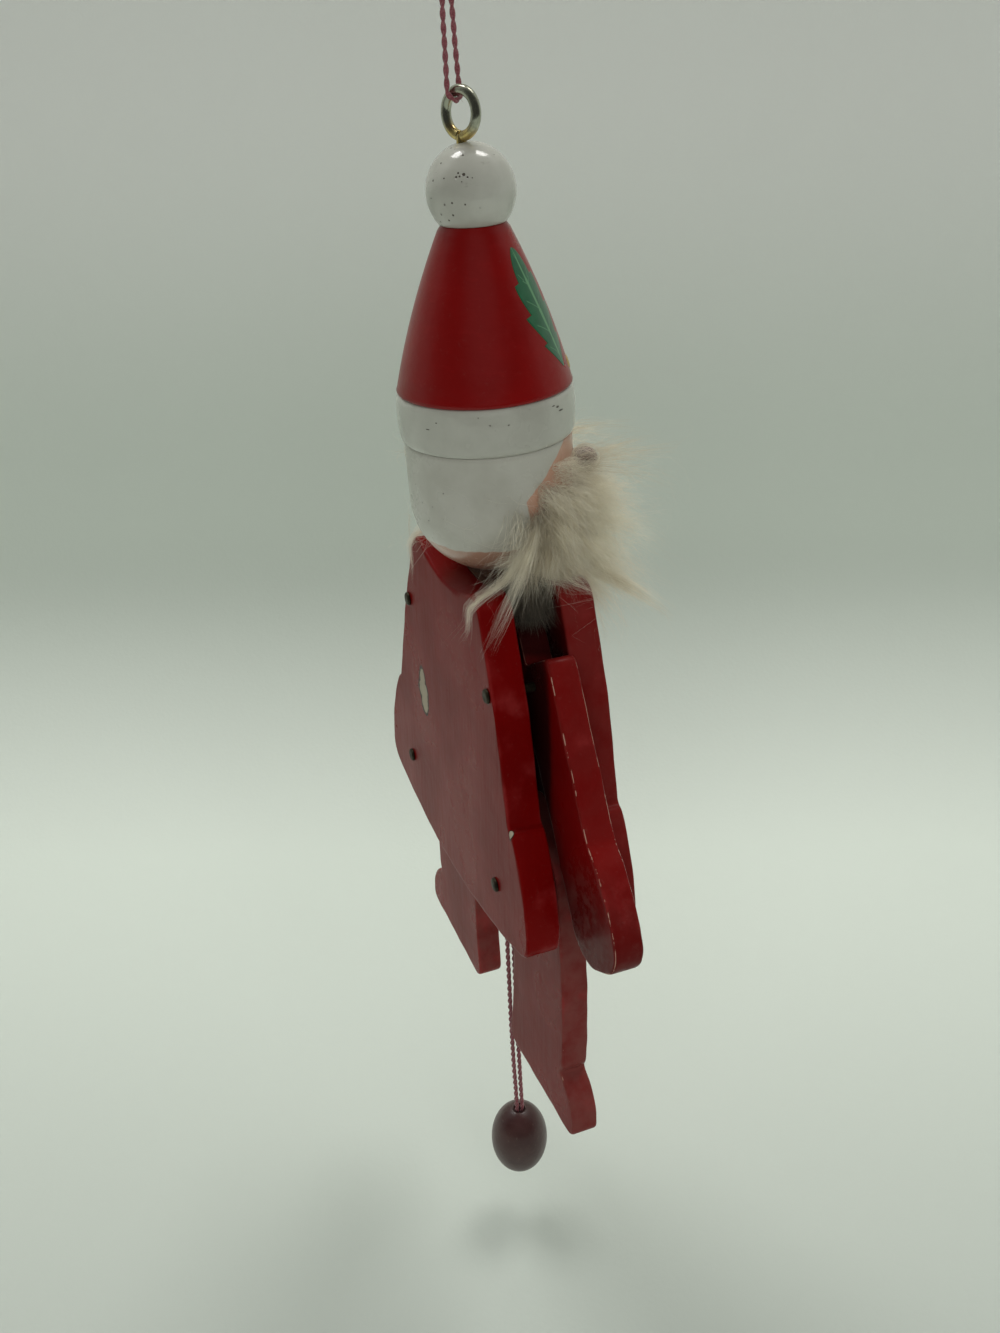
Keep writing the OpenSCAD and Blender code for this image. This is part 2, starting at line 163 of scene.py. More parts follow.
def even_way(way, step):
    """The same way with points an even step apart."""
    run = np.concatenate([[0], np.cumsum(np.linalg.norm(np.diff(way, axis=0), axis=1))])
    at = np.linspace(0, run[-1], max(int(run[-1] / step), 3))
    return np.stack([np.interp(at, run, column) for column in way.T], -1), at


# materials
class Shader:
    """Short names for the nodes of one material, or of the room where a world is given."""

    def __init__(self, name, world=None):
        self.material = world or bpy.data.materials.new(name)
        self.material.use_nodes = True
        self.tree = self.material.node_tree
        self.shader = self.tree.nodes["Background" if world else "Principled BSDF"]
        self.place = self.add("TexCoord", "Generated" if world else "Object", {})

    def add(self, kind, out, inputs, **settings):
        """A new node's output. Its inputs, by name or number, get values or other nodes' outputs."""
        node = self.tree.nodes.new("ShaderNode" + kind)
        for key, value in settings.items():
            setattr(node, key, value)
        for key, value in inputs.items():
            self.set(node.inputs[key], value)
        return node.outputs[out]

    def set(self, socket, value):
        """A number, colour or other node's output on a socket."""
        if isinstance(value, bpy.types.NodeSocket):
            self.tree.links.new(value, socket)
        else:
            socket.default_value = (*value, 1) if socket.type == "RGBA" else value

    def finish(self, **values):
        for key, value in values.items():
            self.set(self.shader.inputs[key.replace("_", " ")], value)
        return self.material

    def blend_surface(self, share, second):
        """Part of the surface gets a second shader, its share a number or an output."""
        both = self.add("MixShader", 0, {0: share, 1: self.shader.outputs[0], 2: second})
        self.set(self.tree.nodes["Material Output"].inputs["Surface"], both)

    def mark(self, name):
        return self.add("Attribute", "Fac", {}, attribute_name=name)

    def stretched(self, x=1.0, y=1.0, z=1.0):
        return self.add("Mapping", "Vector", {"Vector": self.place, "Scale": (x, y, z)})

    def noise(self, scale, detail=4.0, rough=0.55, source=None, twist=0.0):
        return self.add("TexNoise", "Fac", {"Vector": source or self.place, "Scale": scale, "Detail": detail,
                                            "Roughness": rough, "Distortion": twist})

    def specks(self, scale):
        """Distance to the nearest of scattered points."""
        return self.add("TexVoronoi", "Distance", {"Vector": self.place, "Scale": scale})

    def math(self, operation, *values):
        return self.add("Math", 0, dict(enumerate(values)), operation=operation)

    def times(self, a, b, plus=None):
        """a times b, and more where plus is given."""
        return self.math("MULTIPLY", a, b) if plus is None else self.math("MULTIPLY_ADD", a, b, plus)

    def ramp(self, value, low, high, out_low=0.0, out_high=1.0):
        """value between low and high, carried smoothly to out_low and out_high."""
        ends = {"From Min": low, "From Max": high, "To Min": out_low, "To Max": out_high}
        return self.add("MapRange", "Result", {"Value": value, **ends}, interpolation_type="SMOOTHSTEP")

    def mix(self, share, a, b):
        return self.add("Mix", 2, {0: share, 6: a, 7: b}, data_type="RGBA")

    def bump(self, height, distance):
        return self.add("Bump", "Normal", {"Height": height, "Distance": distance})

    def near(self, spot, radii):
        """Distance from a spot of the row frame, measured in the radii given, all in metres."""
        move = tuple(-s / r for s, r in zip(spot, radii))
        size = tuple(1 / r for r in radii)
        placed = self.add("Mapping", "Vector", {"Vector": self.place, "Location": move, "Scale": size})
        return self.add("VectorMath", "Value", {0: placed}, operation="LENGTH")


RED, RED_DEEP, RED_LIGHT = (0.27, 0.003, 0.003), (0.22, 0.002, 0.002), (0.32, 0.007, 0.007)
# the near-black red below is painted shade, the dust colour serves for dust and for painted sheen, and the
# dark hand red is painted shade with grime
RED_PAINTED_SHADE, RED_FADED, RED_EDGE = (0.010, 0.003, 0.003), (0.36, 0.04, 0.04), (0.58, 0.31, 0.24)
DUST_AND_SHEEN, MITTEN_SHADE_AND_GRIME, CHIP_EDGE = (0.30, 0.17, 0.15), (0.045, 0.006, 0.006), (0.035, 0.012, 0.01)
RAW_WOOD, RAW_GRAIN = (0.55, 0.50, 0.40), (0.36, 0.30, 0.22)
PAINT_RELIEF = 0.06 * MM


def red_paint(name, grain=(1.0, 1.0, 0.1), chips=(), wear=0.5, sheen=0.045, swell=(1.0, 1.0, 0.3), painted_shade=(),
              shaded_and_grubby=(), depth=0.72, painted_sheen_and_dust=0.0):
    """Gloss red brushed on sawn wood: streaks along the grain, worn rims, dust and chips.
    The sawn walls can take a pale dust colour as dust with painted sheen, depth scales the red, and lists of
    places get near-black painted shade between the parts or a darkening of painted shade with grime and dust."""
    s = Shader(name)
    streaks = s.noise(900, 3, 0.6, s.stretched(*grain))
    cloud = s.noise(70, 3)
    red, deep_red, light_red = (tuple(depth * c for c in tone) for tone in (RED, RED_DEEP, RED_LIGHT))
    colour = s.mix(s.ramp(cloud, 0.35, 0.7), red, deep_red)
    colour = s.mix(s.ramp(streaks, 0.55, 0.8, 0, 0.25), colour, light_red)
    dust = s.ramp(s.noise(1500, 5, 0.7), 0.58, 0.78, 0, 0.10)
    # painted shade with grime: the listed places darkened, with dust specks on them
    for spot, radii in shaded_and_grubby:
        shaded_and_handled = s.ramp(s.times(cloud, 0.5, s.near(spot, radii)), 1.4, 0.6)
        colour = s.mix(s.times(shaded_and_handled, 0.6), colour, MITTEN_SHADE_AND_GRIME)
        dust = s.times(shaded_and_handled, s.ramp(s.noise(480, 6, 0.75), 0.45, 0.75, 0, 0.26), dust)
    colour = s.mix(dust, colour, DUST_AND_SHEEN)
    rim = s.mark("rim")
    # painted sheen with dust: a pale dust colour on the sawn walls
    if painted_sheen_and_dust:
        wall = s.ramp(s.noise(260, 4, 0.6), 0.25, 0.65, 0.55 * painted_sheen_and_dust, 1.35 * painted_sheen_and_dust)
        colour = s.mix(s.times(s.ramp(rim, 0.3, 0.55), wall), colour, DUST_AND_SHEEN)
    patchy = s.noise(700, 4, 0.6, s.stretched(1, 1, 0.2))
    crest = s.ramp(rim, 0.76, 0.95)
    patchy = s.times(s.noise(2600, 2), 0.12, s.math("ADD", patchy, -0.06))
    line = s.times(s.ramp(s.times(crest, 0.15 * wear, patchy), 0.745, 0.775), crest)
    faded = s.ramp(s.times(rim, 0.26, s.noise(160, 4)), 0.66, 0.95, 0, 0.55)
    colour = s.mix(faded, colour, RED_FADED)
    # painted shade: near-black paint in the listed places between the parts, with no worn edges there
    for spot, radii, deep in painted_shade:
        painted_shade_share = s.times(s.noise(200, 3), 0.25, s.near(spot, radii))
        sheet = s.ramp(s.near(spot, (1, deep, 1)), 1.06, 1.01)
        painted_shade_share = s.times(s.ramp(painted_shade_share, 1.15, 0.85, 0, 0.88), sheet)
        colour = s.mix(painted_shade_share, colour, RED_PAINTED_SHADE)
        line = s.times(line, s.math("SUBTRACT", 1.0, painted_shade_share))
    worn = 0.0
    for spot, radii in chips:
        edge = s.times(s.noise(900, 3), 0.5, s.near(spot, radii))
        chip = s.ramp(edge, 1.12, 1.0)
        colour = s.mix(s.ramp(edge, 1.42, 1.22), colour, CHIP_EDGE)
        worn = s.math("MAXIMUM", worn, chip)
    wood = s.mix(s.noise(1600, 4, 0.6, s.stretched(*grain)), RAW_WOOD, RAW_GRAIN)
    colour = s.mix(worn, s.mix(line, colour, RED_EDGE), wood)
    worn = s.math("MAXIMUM", worn, line)
    rough = s.times(worn, 0.35, s.times(cloud, 0.22, s.ramp(dust, 0, 0.10, 0.18, 0.42)))
    relief = s.times(worn, -1.3, s.times(streaks, 0.6, s.noise(260, 2)))
    relief = s.times(s.noise(110, 2, 0.4, s.stretched(*swell)), 3.5, relief)
    return s.finish(Base_Color=colour, Roughness=rough, Normal=s.bump(relief, PAINT_RELIEF),
                    Specular_IOR_Level=sheen, Coat_Weight=0.02, Coat_Roughness=0.15)


def white_paint(name, tone, dirt, chips=(), matt=0.16):
    """Off-white gloss with grime in its hollows and small dark pits."""
    s = Shader(name)
    cloud = s.noise(110, 4)
    colour = s.mix(s.ramp(cloud, 0.4, 0.75, 0, 0.55), tone, (0.40, 0.39, 0.34))
    smear = s.ramp(s.noise(330, 6, 0.7, s.stretched(1, 1, 2.2), 0.6), 0.60, 0.74, 0, dirt)
    colour = s.mix(smear, colour, (0.25, 0.23, 0.19))
    chance = s.noise(160, 2)
    pits = s.times(s.ramp(s.specks(900), 0.16, 0.08), s.ramp(chance, 0.55, 0.66))
    for spot, radii in chips:
        ragged = s.times(s.noise(1800, 3), 0.7, s.near(spot, radii))
        pits = s.math("MAXIMUM", pits, s.ramp(ragged, 1.35, 1.1))
    colour = s.mix(pits, colour, (0.10, 0.085, 0.07))
    rough = s.times(smear, 0.4, s.ramp(cloud, 0.3, 0.7, matt, 1.8 * matt))
    relief = s.math("SUBTRACT", s.noise(420, 3), s.times(pits, 1.5))
    relief = s.times(s.noise(190, 2, 0.4, s.stretched(1, 1, 1.6)), 4.0, relief)
    return s.finish(Base_Color=colour, Roughness=rough, Normal=s.bump(relief, PAINT_RELIEF), Coat_Weight=0.5,
                    Coat_Roughness=0.05)


def thread_material():
    """Dull pink cotton: fine fibres with darker, soiled stretches."""
    s = Shader("twisted_thread")
    fibre = s.noise(5200, 3, 0.6)
    colour = s.mix(s.ramp(fibre, 0.35, 0.75), (0.22, 0.048, 0.062), (0.40, 0.135, 0.155))
    colour = s.mix(s.ramp(s.noise(300, 3), 0.5, 0.8, 0, 0.5), colour, (0.22, 0.09, 0.08))
    return s.finish(Base_Color=colour, Roughness=0.8, Normal=s.bump(fibre, 0.05 * MM), Sheen_Weight=0.35)


THREAD = thread_material()

# threads: two plies twisted round each other along a way
PLY_PITCH, PLY_SIDES = 2.9, 8
PLY_OUT, PLY_R = 0.21 * CORD_D, 0.29 * CORD_D


def twisted_thread(name, way, steady, body, nodes=(), fuzz=0, fat=1.0):
    """Points way(t) + offset turned round it by the twist, then a small ring about that line."""
    way, at = even_way(way, PLY_PITCH / 14)
    ahead = unit(np.gradient(way, axis=0))
    steady = np.asarray(steady, float)
    side = unit(steady - ahead * (ahead @ steady)[:, None])
    other = np.cross(ahead, side)

    def round_way(angle):
        """Unit offsets across the way; the last axis of the result is xyz."""
        shape = (len(way),) + (1,) * (np.ndim(angle) - 1) + (3,)
        angle = np.asarray(angle)[..., None]
        return np.cos(angle) * side.reshape(shape) + np.sin(angle) * other.reshape(shape)

    points, faces, caps = [], [], []
    rings = np.broadcast_to(ring_steps(PLY_SIDES), (len(way), PLY_SIDES))
    for ply, start in enumerate((0.0, np.pi)):
        swell = 1 + 0.06 * np.sin(at * 1.7 + start)
        line = way + PLY_OUT * fat * round_way(2 * np.pi * at / PLY_PITCH + start)
        ring = PLY_R * fat * swell[:, None, None] * round_way(rings)
        points.append((line[:, None, :] + ring).reshape(-1, 3))
        first = ply * len(way) * PLY_SIDES
        quads, ends = tube(len(way), PLY_SIDES, True)
        faces.append(quads + first)
        caps += [end + first for end in ends]
    points, faces = np.concatenate(points) * MM, np.concatenate(faces)
    obj = piece(name, points, faces, body, THREAD, nodes, extra=caps)
    if fuzz:
        fibres(name + "_fuzz", way, ahead, body, fuzz)
    return obj, way * MM


def fibres(name, way, ahead, body, count):
    """Loose fibres: short curved ribbons standing off the thread at random places."""
    start = rng.integers(2, len(way) - 2, count)
    out = unit(np.cross(ahead[start], rng.normal(size=(count, 3))))
    lean = ahead[start] * rng.uniform(-1, 1, (count, 1))
    steps = 5
    t = np.linspace(0, 1, steps)[None, :, None]
    long = rng.uniform(0.4, 1.2, (count, 1, 1))
    away = out[:, None, :] * (0.3 * CORD_D + 0.45 * long * t)
    line = way[start][:, None, :] + away + lean[:, None, :] * long * t**2 * 0.8
    width = unit(np.cross(out, ahead[start]))[:, None, :] * 0.018 * (1 - 0.8 * t)
    ribbons(name, line, width, body, "thread", THREAD)


def ribbons(name, line, width, body, slot, material, nodes=(), lift=lambda p: p * MM, **marks):
    """Flat strands: the points of line (strand, step, xyz) and as far as width on both sides."""
    strands, steps = line.shape[:2]
    points = np.stack([line - width, line + width], 2).reshape(-1, 3)
    quads = grid_quads(steps, 2)[None] + (np.arange(strands) * steps * 2)[:, None, None]
    return piece(name, lift(points), quads.reshape(-1, 4), body, material, nodes, marks=marks)


# the pull line: cord, bead, cross strings and the limbs' string holes
PULL_FORE, BEAD_FORE, SAG = 0.4, 2.9, 4.1
ARM_LEVER, ARM_TAIL, ARM_SPLAY = 8.0, np.radians(25), np.radians(32)
LEG_LEVER, LEG_TAIL = 9.5, np.radians(35)
SHOULDER, HIP = np.array([16.9, -8.9]), np.array([19.0, -38.9])
ARM_TIE = SHOULDER + ARM_LEVER * np.array([-np.cos(ARM_TAIL), np.sin(ARM_TAIL)])
LEG_TIE = HIP + LEG_LEVER * np.array([-np.cos(LEG_TAIL), np.sin(LEG_TAIL)])
KNOT_R = 0.75
STRING_Y = LIMB_BACK + KNOT_R
PULL_TOP = np.array([0, PULL_FORE, ARM_TIE[1] - SAG])
BEAD_MID = np.array([0, -BEAD_FORE, -116.0])
BEAD_R, BEAD_HALF = 5.25, 7.4
PULL_RUN = BEAD_MID - PULL_TOP
LEG_VERTEX = PULL_TOP + PULL_RUN * (LEG_TIE[1] - SAG - PULL_TOP[2]) / PULL_RUN[2]


def make_pull_cord():
    """One thread folded over the arm string, its two strands side by side down to the bead."""
    fold, half, in_bead, tuck = CORD_D + 0.05, 0.56, 0.5, 0.6
    down = np.array([0, 0, 1])
    middle = [PULL_TOP - down * fold] + [PULL_TOP + PULL_RUN * k for k in (0.25, 0.5, 0.75)]
    middle += [BEAD_MID + down * (BEAD_HALF + CORD_D), BEAD_MID, BEAD_MID - down * (BEAD_HALF + tuck)]
    middle = smooth_way(middle, 6)
    spread = smooth_way(np.array([[fold, half, half, half, in_bead, in_bead, in_bead]]).T, 6)
    aside = spread * [0, 1, 0]
    a = np.linspace(0, np.pi, 9)
    turn = PULL_TOP + fold * np.stack([0 * a, np.cos(a), np.sin(a)], -1)
    way = at_neck(np.concatenate([(middle + aside)[::-1], turn, middle - aside])) / MM
    cord, path = twisted_thread("pull_thread", way, (1, 0, 0), "pull_line", ["pull_cord"], 700, 1.22)


def make_hanging_cord():
    """A folded thread under the eye's wire, both strands up to the knot above the picture."""
    slip, up, lean, pressed = np.radians(28), 15.0, 0.7, 0.05
    out = np.array([-np.sin(EYE_TURN), np.cos(EYE_TURN), 0])
    inward = np.array([np.sin(slip) * out[1], -np.sin(slip) * out[0], np.cos(slip)])
    wire = EYE_D / 2 * inward
    bend = EYE_WIRE / 2 + CORD_D / 2 + pressed
    top = wire + [0, lean, up]

    def strand(side):
        stages = [wire + bend * (1, 0.85, 0.75)[k] * side + [0, k * lean / 3, 0.3 * k * up] for k in range(3)]
        return smooth_way(stages + [top + CORD_D * 0.55 * side], 5)

    a = np.linspace(0, np.pi, 9)[1:-1, None]
    turn = wire + bend * (np.cos(a) * out - np.sin(a) * inward)
    way = np.concatenate([strand(out)[::-1], turn, strand(-out)])
    steady = (out[1], -out[0], 0)
    cord, path = twisted_thread("hanging_thread", way, steady, "figure", ["hanging_cord"], 70)
    return top


def knot(name, middle, radius, body, nodes=()):
    """A small knot: a thread wound round a ball on a path of the form of a loose trefoil."""
    a = np.linspace(0, 2 * np.pi, 90)
    trefoil = [np.sin(a) + 1.1 * np.sin(2 * a), np.cos(a) - 1.1 * np.cos(2 * a), -1.25 * np.sin(3 * a)]
    way = middle + np.stack(trefoil, -1) * ((radius - 0.3 * CORD_D) / 2.1)
    twisted_thread(name, way, (0.3, 0.2, 1), body, nodes)


def cross_string(name, tie, middle, node):
    """A string from limb tail to limb tail, drawn down to the pull cord in its middle."""
    gap = KNOT_R + CORD_D
    left = np.array([[tie[0] - gap, STRING_Y, tie[1] - CORD_D / 2],
                     [tie[0] * 0.7, STRING_Y, tie[1] * 0.7 + middle[2] * 0.3],
                     [tie[0] * 0.35, (STRING_Y + middle[1]) / 2, tie[1] * 0.3 + middle[2] * 0.7]])
    way = smooth_way(np.concatenate([left, [middle], left[::-1] * [-1, 1, 1]]), 8)
    twisted_thread(name, at_neck(way) / MM, (0, 1, 0), "pull_line", [node], 40)


def make_strings():
    """The cords, the knots that hold them, and the strings to the limbs' tails."""
    make_pull_cord()
    under_bead = BEAD_MID - [0, 0, BEAD_HALF + 0.6]
    knot("hanging_bow", make_hanging_cord(), 1.3, "figure", ["hanging_knot"])
    knot("bead_stop", at_neck(under_bead) / MM, 1.15, "pull_line", ["bead_knot"])
    knot("line_knot", at_neck(LEG_VERTEX) / MM, 1.2, "pull_line")
    cross_string("arm_thread", ARM_TIE, PULL_TOP, "arm_string")
    cross_string("leg_thread", LEG_TIE, LEG_VERTEX, "leg_string")
    through = np.linspace(0, LIMB_FRONT - STRING_Y, 20)[:, None] * [[0, 1, 0]]
    for limb, tie in (("arm", ARM_TIE), ("leg", LEG_TIE)):
        for side, sign in SIDES:
            spot = at_neck([sign * tie[0], STRING_Y, tie[1]]) / MM
            body = f"{side}_{limb}_body"
            knot(f"{side}_{limb}_knot", spot, KNOT_R, body, [f"{side}_{limb}_tie"])
            twisted_thread(f"{side}_{limb}_plug", through + spot, (1, 0, 0), body)


make_strings()




# sawn wood: an outline with rounded rims between two flat faces
def arc_pts(p, q, rise, n=10):
    """Points from p to q on an arc that stands out by rise on the left of the way."""
    p, q = np.asarray(p, float), np.asarray(q, float)
    far = np.linalg.norm(q - p)
    side = np.array([p[1] - q[1], q[0] - p[0]]) / far
    r = (far**2 / 4 + rise**2) / (2 * rise)
    mid, half = np.arctan2(side[1], side[0]), np.arcsin(far / 2 / r)
    a = mid + half - 2 * half * np.linspace(0, 1, n + 1)
    return (p + q) / 2 + side * (rise - r) + r * np.stack([np.cos(a), np.sin(a)], -1)


def corner_pts(c, r, start, stop, n=6):
    a = np.radians(np.linspace(start, stop, n + 1))
    return np.asarray(c) + r * np.stack([np.cos(a), np.sin(a)], -1)


def board_outline():
    """The coat: scooped neck, sloping sides, a step at the waist, round corners and a bowed hem."""
    tip, top, waist, skirt = [10.6, 3.4], [13.8, 2.2], [23.8, -26.2], [24.9, -26.2]
    hem, turn, corner, scoop, bottom = np.array([30.4, -42.0]), np.radians(75), 3, -2.4, -49.1
    low = hem + corner * np.array([np.cos(turn) - 1, -np.sin(turn)])
    right = np.concatenate([arc_pts(tip, top, 0.4, 6)[1:-1], arc_pts(top, waist, 0.95, 16),
                            arc_pts(skirt, hem, 1.3, 12),
                            corner_pts(hem - [corner, 0], corner, 0, -np.degrees(turn), 8)[1:-1]])
    neck_line = arc_pts([-tip[0], tip[1]], tip, scoop, 20)
    hem_line = arc_pts(low, low * [-1, 1], low[1] - bottom, 30)
    return np.concatenate([neck_line, right, hem_line, right[::-1] * [-1, 1]])


def arm_outline():
    """Round tail with the string hole, straight sleeve, cuff and mitten, in the arm's own place."""
    a = ARM_TAIL + ARM_SPLAY
    hole = ARM_LEVER * np.array([-np.cos(a), np.sin(a)])
    tail_r, top, corner_r, out = 2.6, 3.1, 1.2, 6.7
    cuff, palm, palm_r = -21.9, -33.9, 5.2
    return np.concatenate([
        corner_pts(hole, tail_r, 180, 0, 12), [[hole[0] + tail_r, top]],
        corner_pts([5.5, 1.9], corner_r, 90, 0), [[out, cuff]],
        arc_pts([8.1, -24.7], [8.9, palm], 0.35, 6), corner_pts([3.7, palm], palm_r, 0, -90, 10),
        corner_pts([0.2, palm], palm_r, -90, -180, 10), [[-5, cuff], [-5.4, cuff / 2]]])


def leg_outline():
    """Round tail with the string hole, bowed trouser leg and a boot with its toe outwards."""
    tail_deg, tail_r, hip_r, inner = np.degrees(LEG_TAIL), 2.7, 6.3, -3.6
    tail = LEG_LEVER * np.array([-np.cos(LEG_TAIL), np.sin(LEG_TAIL)])
    touch = np.degrees(np.arccos(inner / LEG_LEVER)) - tail_deg
    trouser, boot, toe, heel = -30.6, -32.2, [13.2, -39.7], -10.6
    return np.concatenate([
        corner_pts(tail, tail_r, 180, touch, 8), corner_pts([0, 0], hip_r, touch, 0, 8),
        arc_pts([hip_r, -0.8], [9, trouser], 0.8, 8), arc_pts([8.2, boot], toe, 1.4, 8),
        corner_pts([toe[0] - 2, toe[1]], 2, 0, -85), corner_pts([-9.4, -40.5], 2.4, -92, -180),
        [[heel, boot], [heel, trouser]]])


def softened(ring, rounds=2):
    """Each point drawn towards the middle of its two neighbours."""
    for _ in range(rounds):
        ring = 0.5 * ring + 0.25 * (np.roll(ring, 1, 0) + np.roll(ring, -1, 0))
    return ring


def filled(outline, step):
    """The closed outline with every stretch between its corners cut into even short steps."""
    away = np.roll(outline, -1, 0) - outline
    parts = np.maximum(np.ceil(np.linalg.norm(away, axis=1) / step).astype(int), 1)
    share = (np.arange(parts.sum()) - np.repeat(np.cumsum(parts) - parts, parts)) / np.repeat(parts, parts)
    return np.repeat(outline, parts, 0) + np.repeat(away, parts, 0) * share[:, None]


def sawn(name, outline, rear, front, body, material, hang=None, rim=0.45):
    """Side wall of the outline, at each face a quarter round of radius rim, then the flat face.
    The round's width wanders a little along the outline, as sanding by hand leaves it."""
    ring = softened(filled(outline, 0.35), 3)
    phase = ring_steps(len(ring))
    wander = 1 + 0.3 * np.sin(5 * phase + 1) + 0.25 * np.sin(13 * phase) + 0.2 * np.sin(29 * phase + 2)
    a = np.linspace(0, np.pi / 2, 5)
    drawn_in = np.append(rim * (1 - np.cos(a)), rim + np.array([0.25, 0.5]))
    sunk = np.append(rim * (1 - np.sin(a)), [0, 0])
    rings = [ring]
    for step in np.diff(drawn_in):
        ahead = unit(np.roll(ring, -1, 0) - np.roll(ring, 1, 0))
        outward = np.stack([-ahead[:, 1], ahead[:, 0]], -1)
        ring = softened(ring - outward * (step * wander)[:, None])
        rings.append(ring)
    flat = np.concatenate([rings[::-1], rings])
    depth = np.concatenate([(rear - sunk)[::-1], front + sunk])[:, None]
    worn = np.array([0.55, 0.75, 1, 0.75, 0.5, 0.15, 0])
    worn = np.concatenate([worn[::-1], worn])
    count, n = flat.shape[:2]
    points = np.stack([flat[..., 0], np.broadcast_to(depth, (count, n)), flat[..., 1]], -1).reshape(-1, 3)
    faces, caps = tube(count, n, hang is None or hang[2] > 0)
    if hang is not None:
        points = hung(points, *hang)
    piece(name + "_wood", at_neck(points), faces, body, material, [name],
          marks={"rim": np.repeat(worn, n)}, extra=caps)


def hung(p, pivot, turn, sign):
    """A limb's own points, hanging from its nail, turned out and carried between the boards."""
    c, s = np.cos(turn), np.sin(turn)
    x, z = p[:, 0] * c - p[:, 2] * s, p[:, 2] * c + p[:, 0] * s
    return np.stack([sign * (x + pivot[0]), p[:, 1], z + pivot[1]], -1)


def spot_at(place, *radii):
    """A place on the neck frame and its radii, all in mm, as metres for near()."""
    return at_neck(place), tuple(r * MM for r in radii)


def make_wood():
    """Both boards and the four limbs, with painted shade near-black between the boards and on the arms'
    tails, chipped where the photo shows it.
    """
    all_through = 1 / MM
    # painted shade: the boards' inner faces near-black between the boards
    gap = [(*spot_at([0, 0, -23], 23, all_through, 34), GAP_FACE * MM)]
    back = red_paint("back_board_paint", painted_shade=gap, chips=[
        spot_at([11.8, BACK_FACE, -20.6], 1.5, 1, 2.0), spot_at([11.5, BACK_FACE, -22.6], 2.4, 1, 2.2),
        spot_at([11.0, BACK_FACE, -24.6], 1.8, 1, 2.0), spot_at([-24.5, 8.2, -26.5], 0.5, 0.4, 1.0),
        spot_at([-24.4, 7.6, -25.5], 0.4, 0.3, 0.7)])
    front = red_paint("front_board_paint", painted_shade=gap, painted_sheen_and_dust=0.08,
                      chips=[spot_at([-24.7, -GAP_FACE, -26.3], 0.7, 1, 0.5)])
    sawn("back_board", board_outline(), BACK_FACE, GAP_FACE, "figure", back)
    sawn("front_board", board_outline(), -GAP_FACE, -BACK_FACE, "figure", front)
    # painted shade: near-black on the arms' tails and on their inner sides next to the boards
    tails = [(*spot_at([side * x, 0, z], 6.2, all_through, tall), 1) for side in (-1, 1)
             for x, z, tall in ((8.6, -4.5, 6.2), (17.5, -22, 24))]
    # the mittens darkened as painted shade, with grime and dust
    mittens = [spot_at([side * 36, 0, -40], 11, all_through, 13) for side in (-1, 1)]
    arm = red_paint("arm_paint", wear=1.55, painted_shade=tails, shaded_and_grubby=mittens, painted_sheen_and_dust=0.04)
    # the legs' sawn walls get the most painted sheen with dust
    leg = red_paint("leg_paint", wear=0.7, painted_sheen_and_dust=0.25)
    for side, sign in SIDES:
        for limb, outline, paint, pivot, turn in (("arm", arm_outline(), arm, SHOULDER, ARM_SPLAY),
                                                  ("leg", leg_outline(), leg, HIP, 0.0)):
            node = f"{side}_{limb}"
            sawn(node, outline, LIMB_BACK, LIMB_FRONT, node + "_body", paint, (pivot, turn, sign))


make_wood()


# turned pieces: a profile swept round an axis
def turned(name, profile, lift, body, material, nodes, sides=160, uneven=0.0):
    """(r cos a, r sin a, z) for every profile point (r, z), closed by small caps at both ends.
    Marks: around is the angle from the front, 0 to 180 degrees; up is z in mm."""
    r, z = np.asarray(profile, float)[:, :1], np.asarray(profile, float)[:, 1:]
    a = ring_steps(sides)
    r = r * (1 + uneven * np.sin(3 * a + 0.3 * z) * np.sin(a + 2))
    points = spun(r, z, a)
    around = np.degrees(np.arccos(np.clip(-np.sin(a), -1, 1)))
    marks = {"around": np.broadcast_to(around, r.shape), "up": points[..., 2]}
    faces, caps = tube(len(profile), sides)
    piece(name, lift(points.reshape(-1, 3)), faces, body, material, nodes, marks=marks, extra=caps)


def bowed(r0, z0, r1, z1, bulge, n=24):
    """A turned side from (r0, z0) to (r1, z1) that swells by bulge half way."""
    t = np.linspace(0, 1, n)
    return np.stack([r0 + (r1 - r0) * t + bulge * 4 * t * (1 - t), z0 + (z1 - z0) * t], -1)


AXIS_R = 0.05


def rounded(profile, r):
    """The profile with the corner at each end turned in over a small radius r."""
    a = np.linspace(0, np.pi / 2, 6)[:-1]
    first, last = profile[0], profile[-1]
    start = np.stack([first[0] - r + r * np.sin(a), first[1] + r - r * np.cos(a)], -1)
    stop = np.stack([last[0] - r + r * np.sin(a[::-1]), last[1] - r + r * np.cos(a[::-1])], -1)
    kept = profile[(profile[:, 1] > first[1] + r) & (profile[:, 1] < last[1] - r)]
    return np.concatenate([[[AXIS_R, first[1]]], start, kept, stop, [[AXIS_R, last[1]]]])


def domed(r, middle, start, stop, count, tall=None):
    """Part of a turned ball or egg between two angles above its middle."""
    a = np.linspace(start, stop, count)
    return np.stack([r * np.cos(a), middle + (tall or r) * np.sin(a)], -1)


HEAD_R, HEAD_MID, HEAD_LOW = 11.4, 13.4, 10.9
BAND_LOW, CAP_LOW, CAP_TOP = 21.9, 28.3, 48.7
CAP_R, CAP_TIP_R, CAP_BOW = 11.7, 4.25, 0.6
BOBBLE_MID, BOBBLE_R = 52.3925, 5.63
NOSE_UP, NOSE_R, NOSE_TIP = 15.33, 1.65, 16.1


def oval(s, u, v, middle, radii):
    """Distance from an oval's middle, 1 at its line, on the marks u and v."""
    du, dv = (s.math("POWER", s.times(s.math("SUBTRACT", at, mid), 1 / r), 2.0)
              for at, mid, r in zip((u, v), middle, radii))
    return s.math("SQRT", s.math("ADD", du, dv))


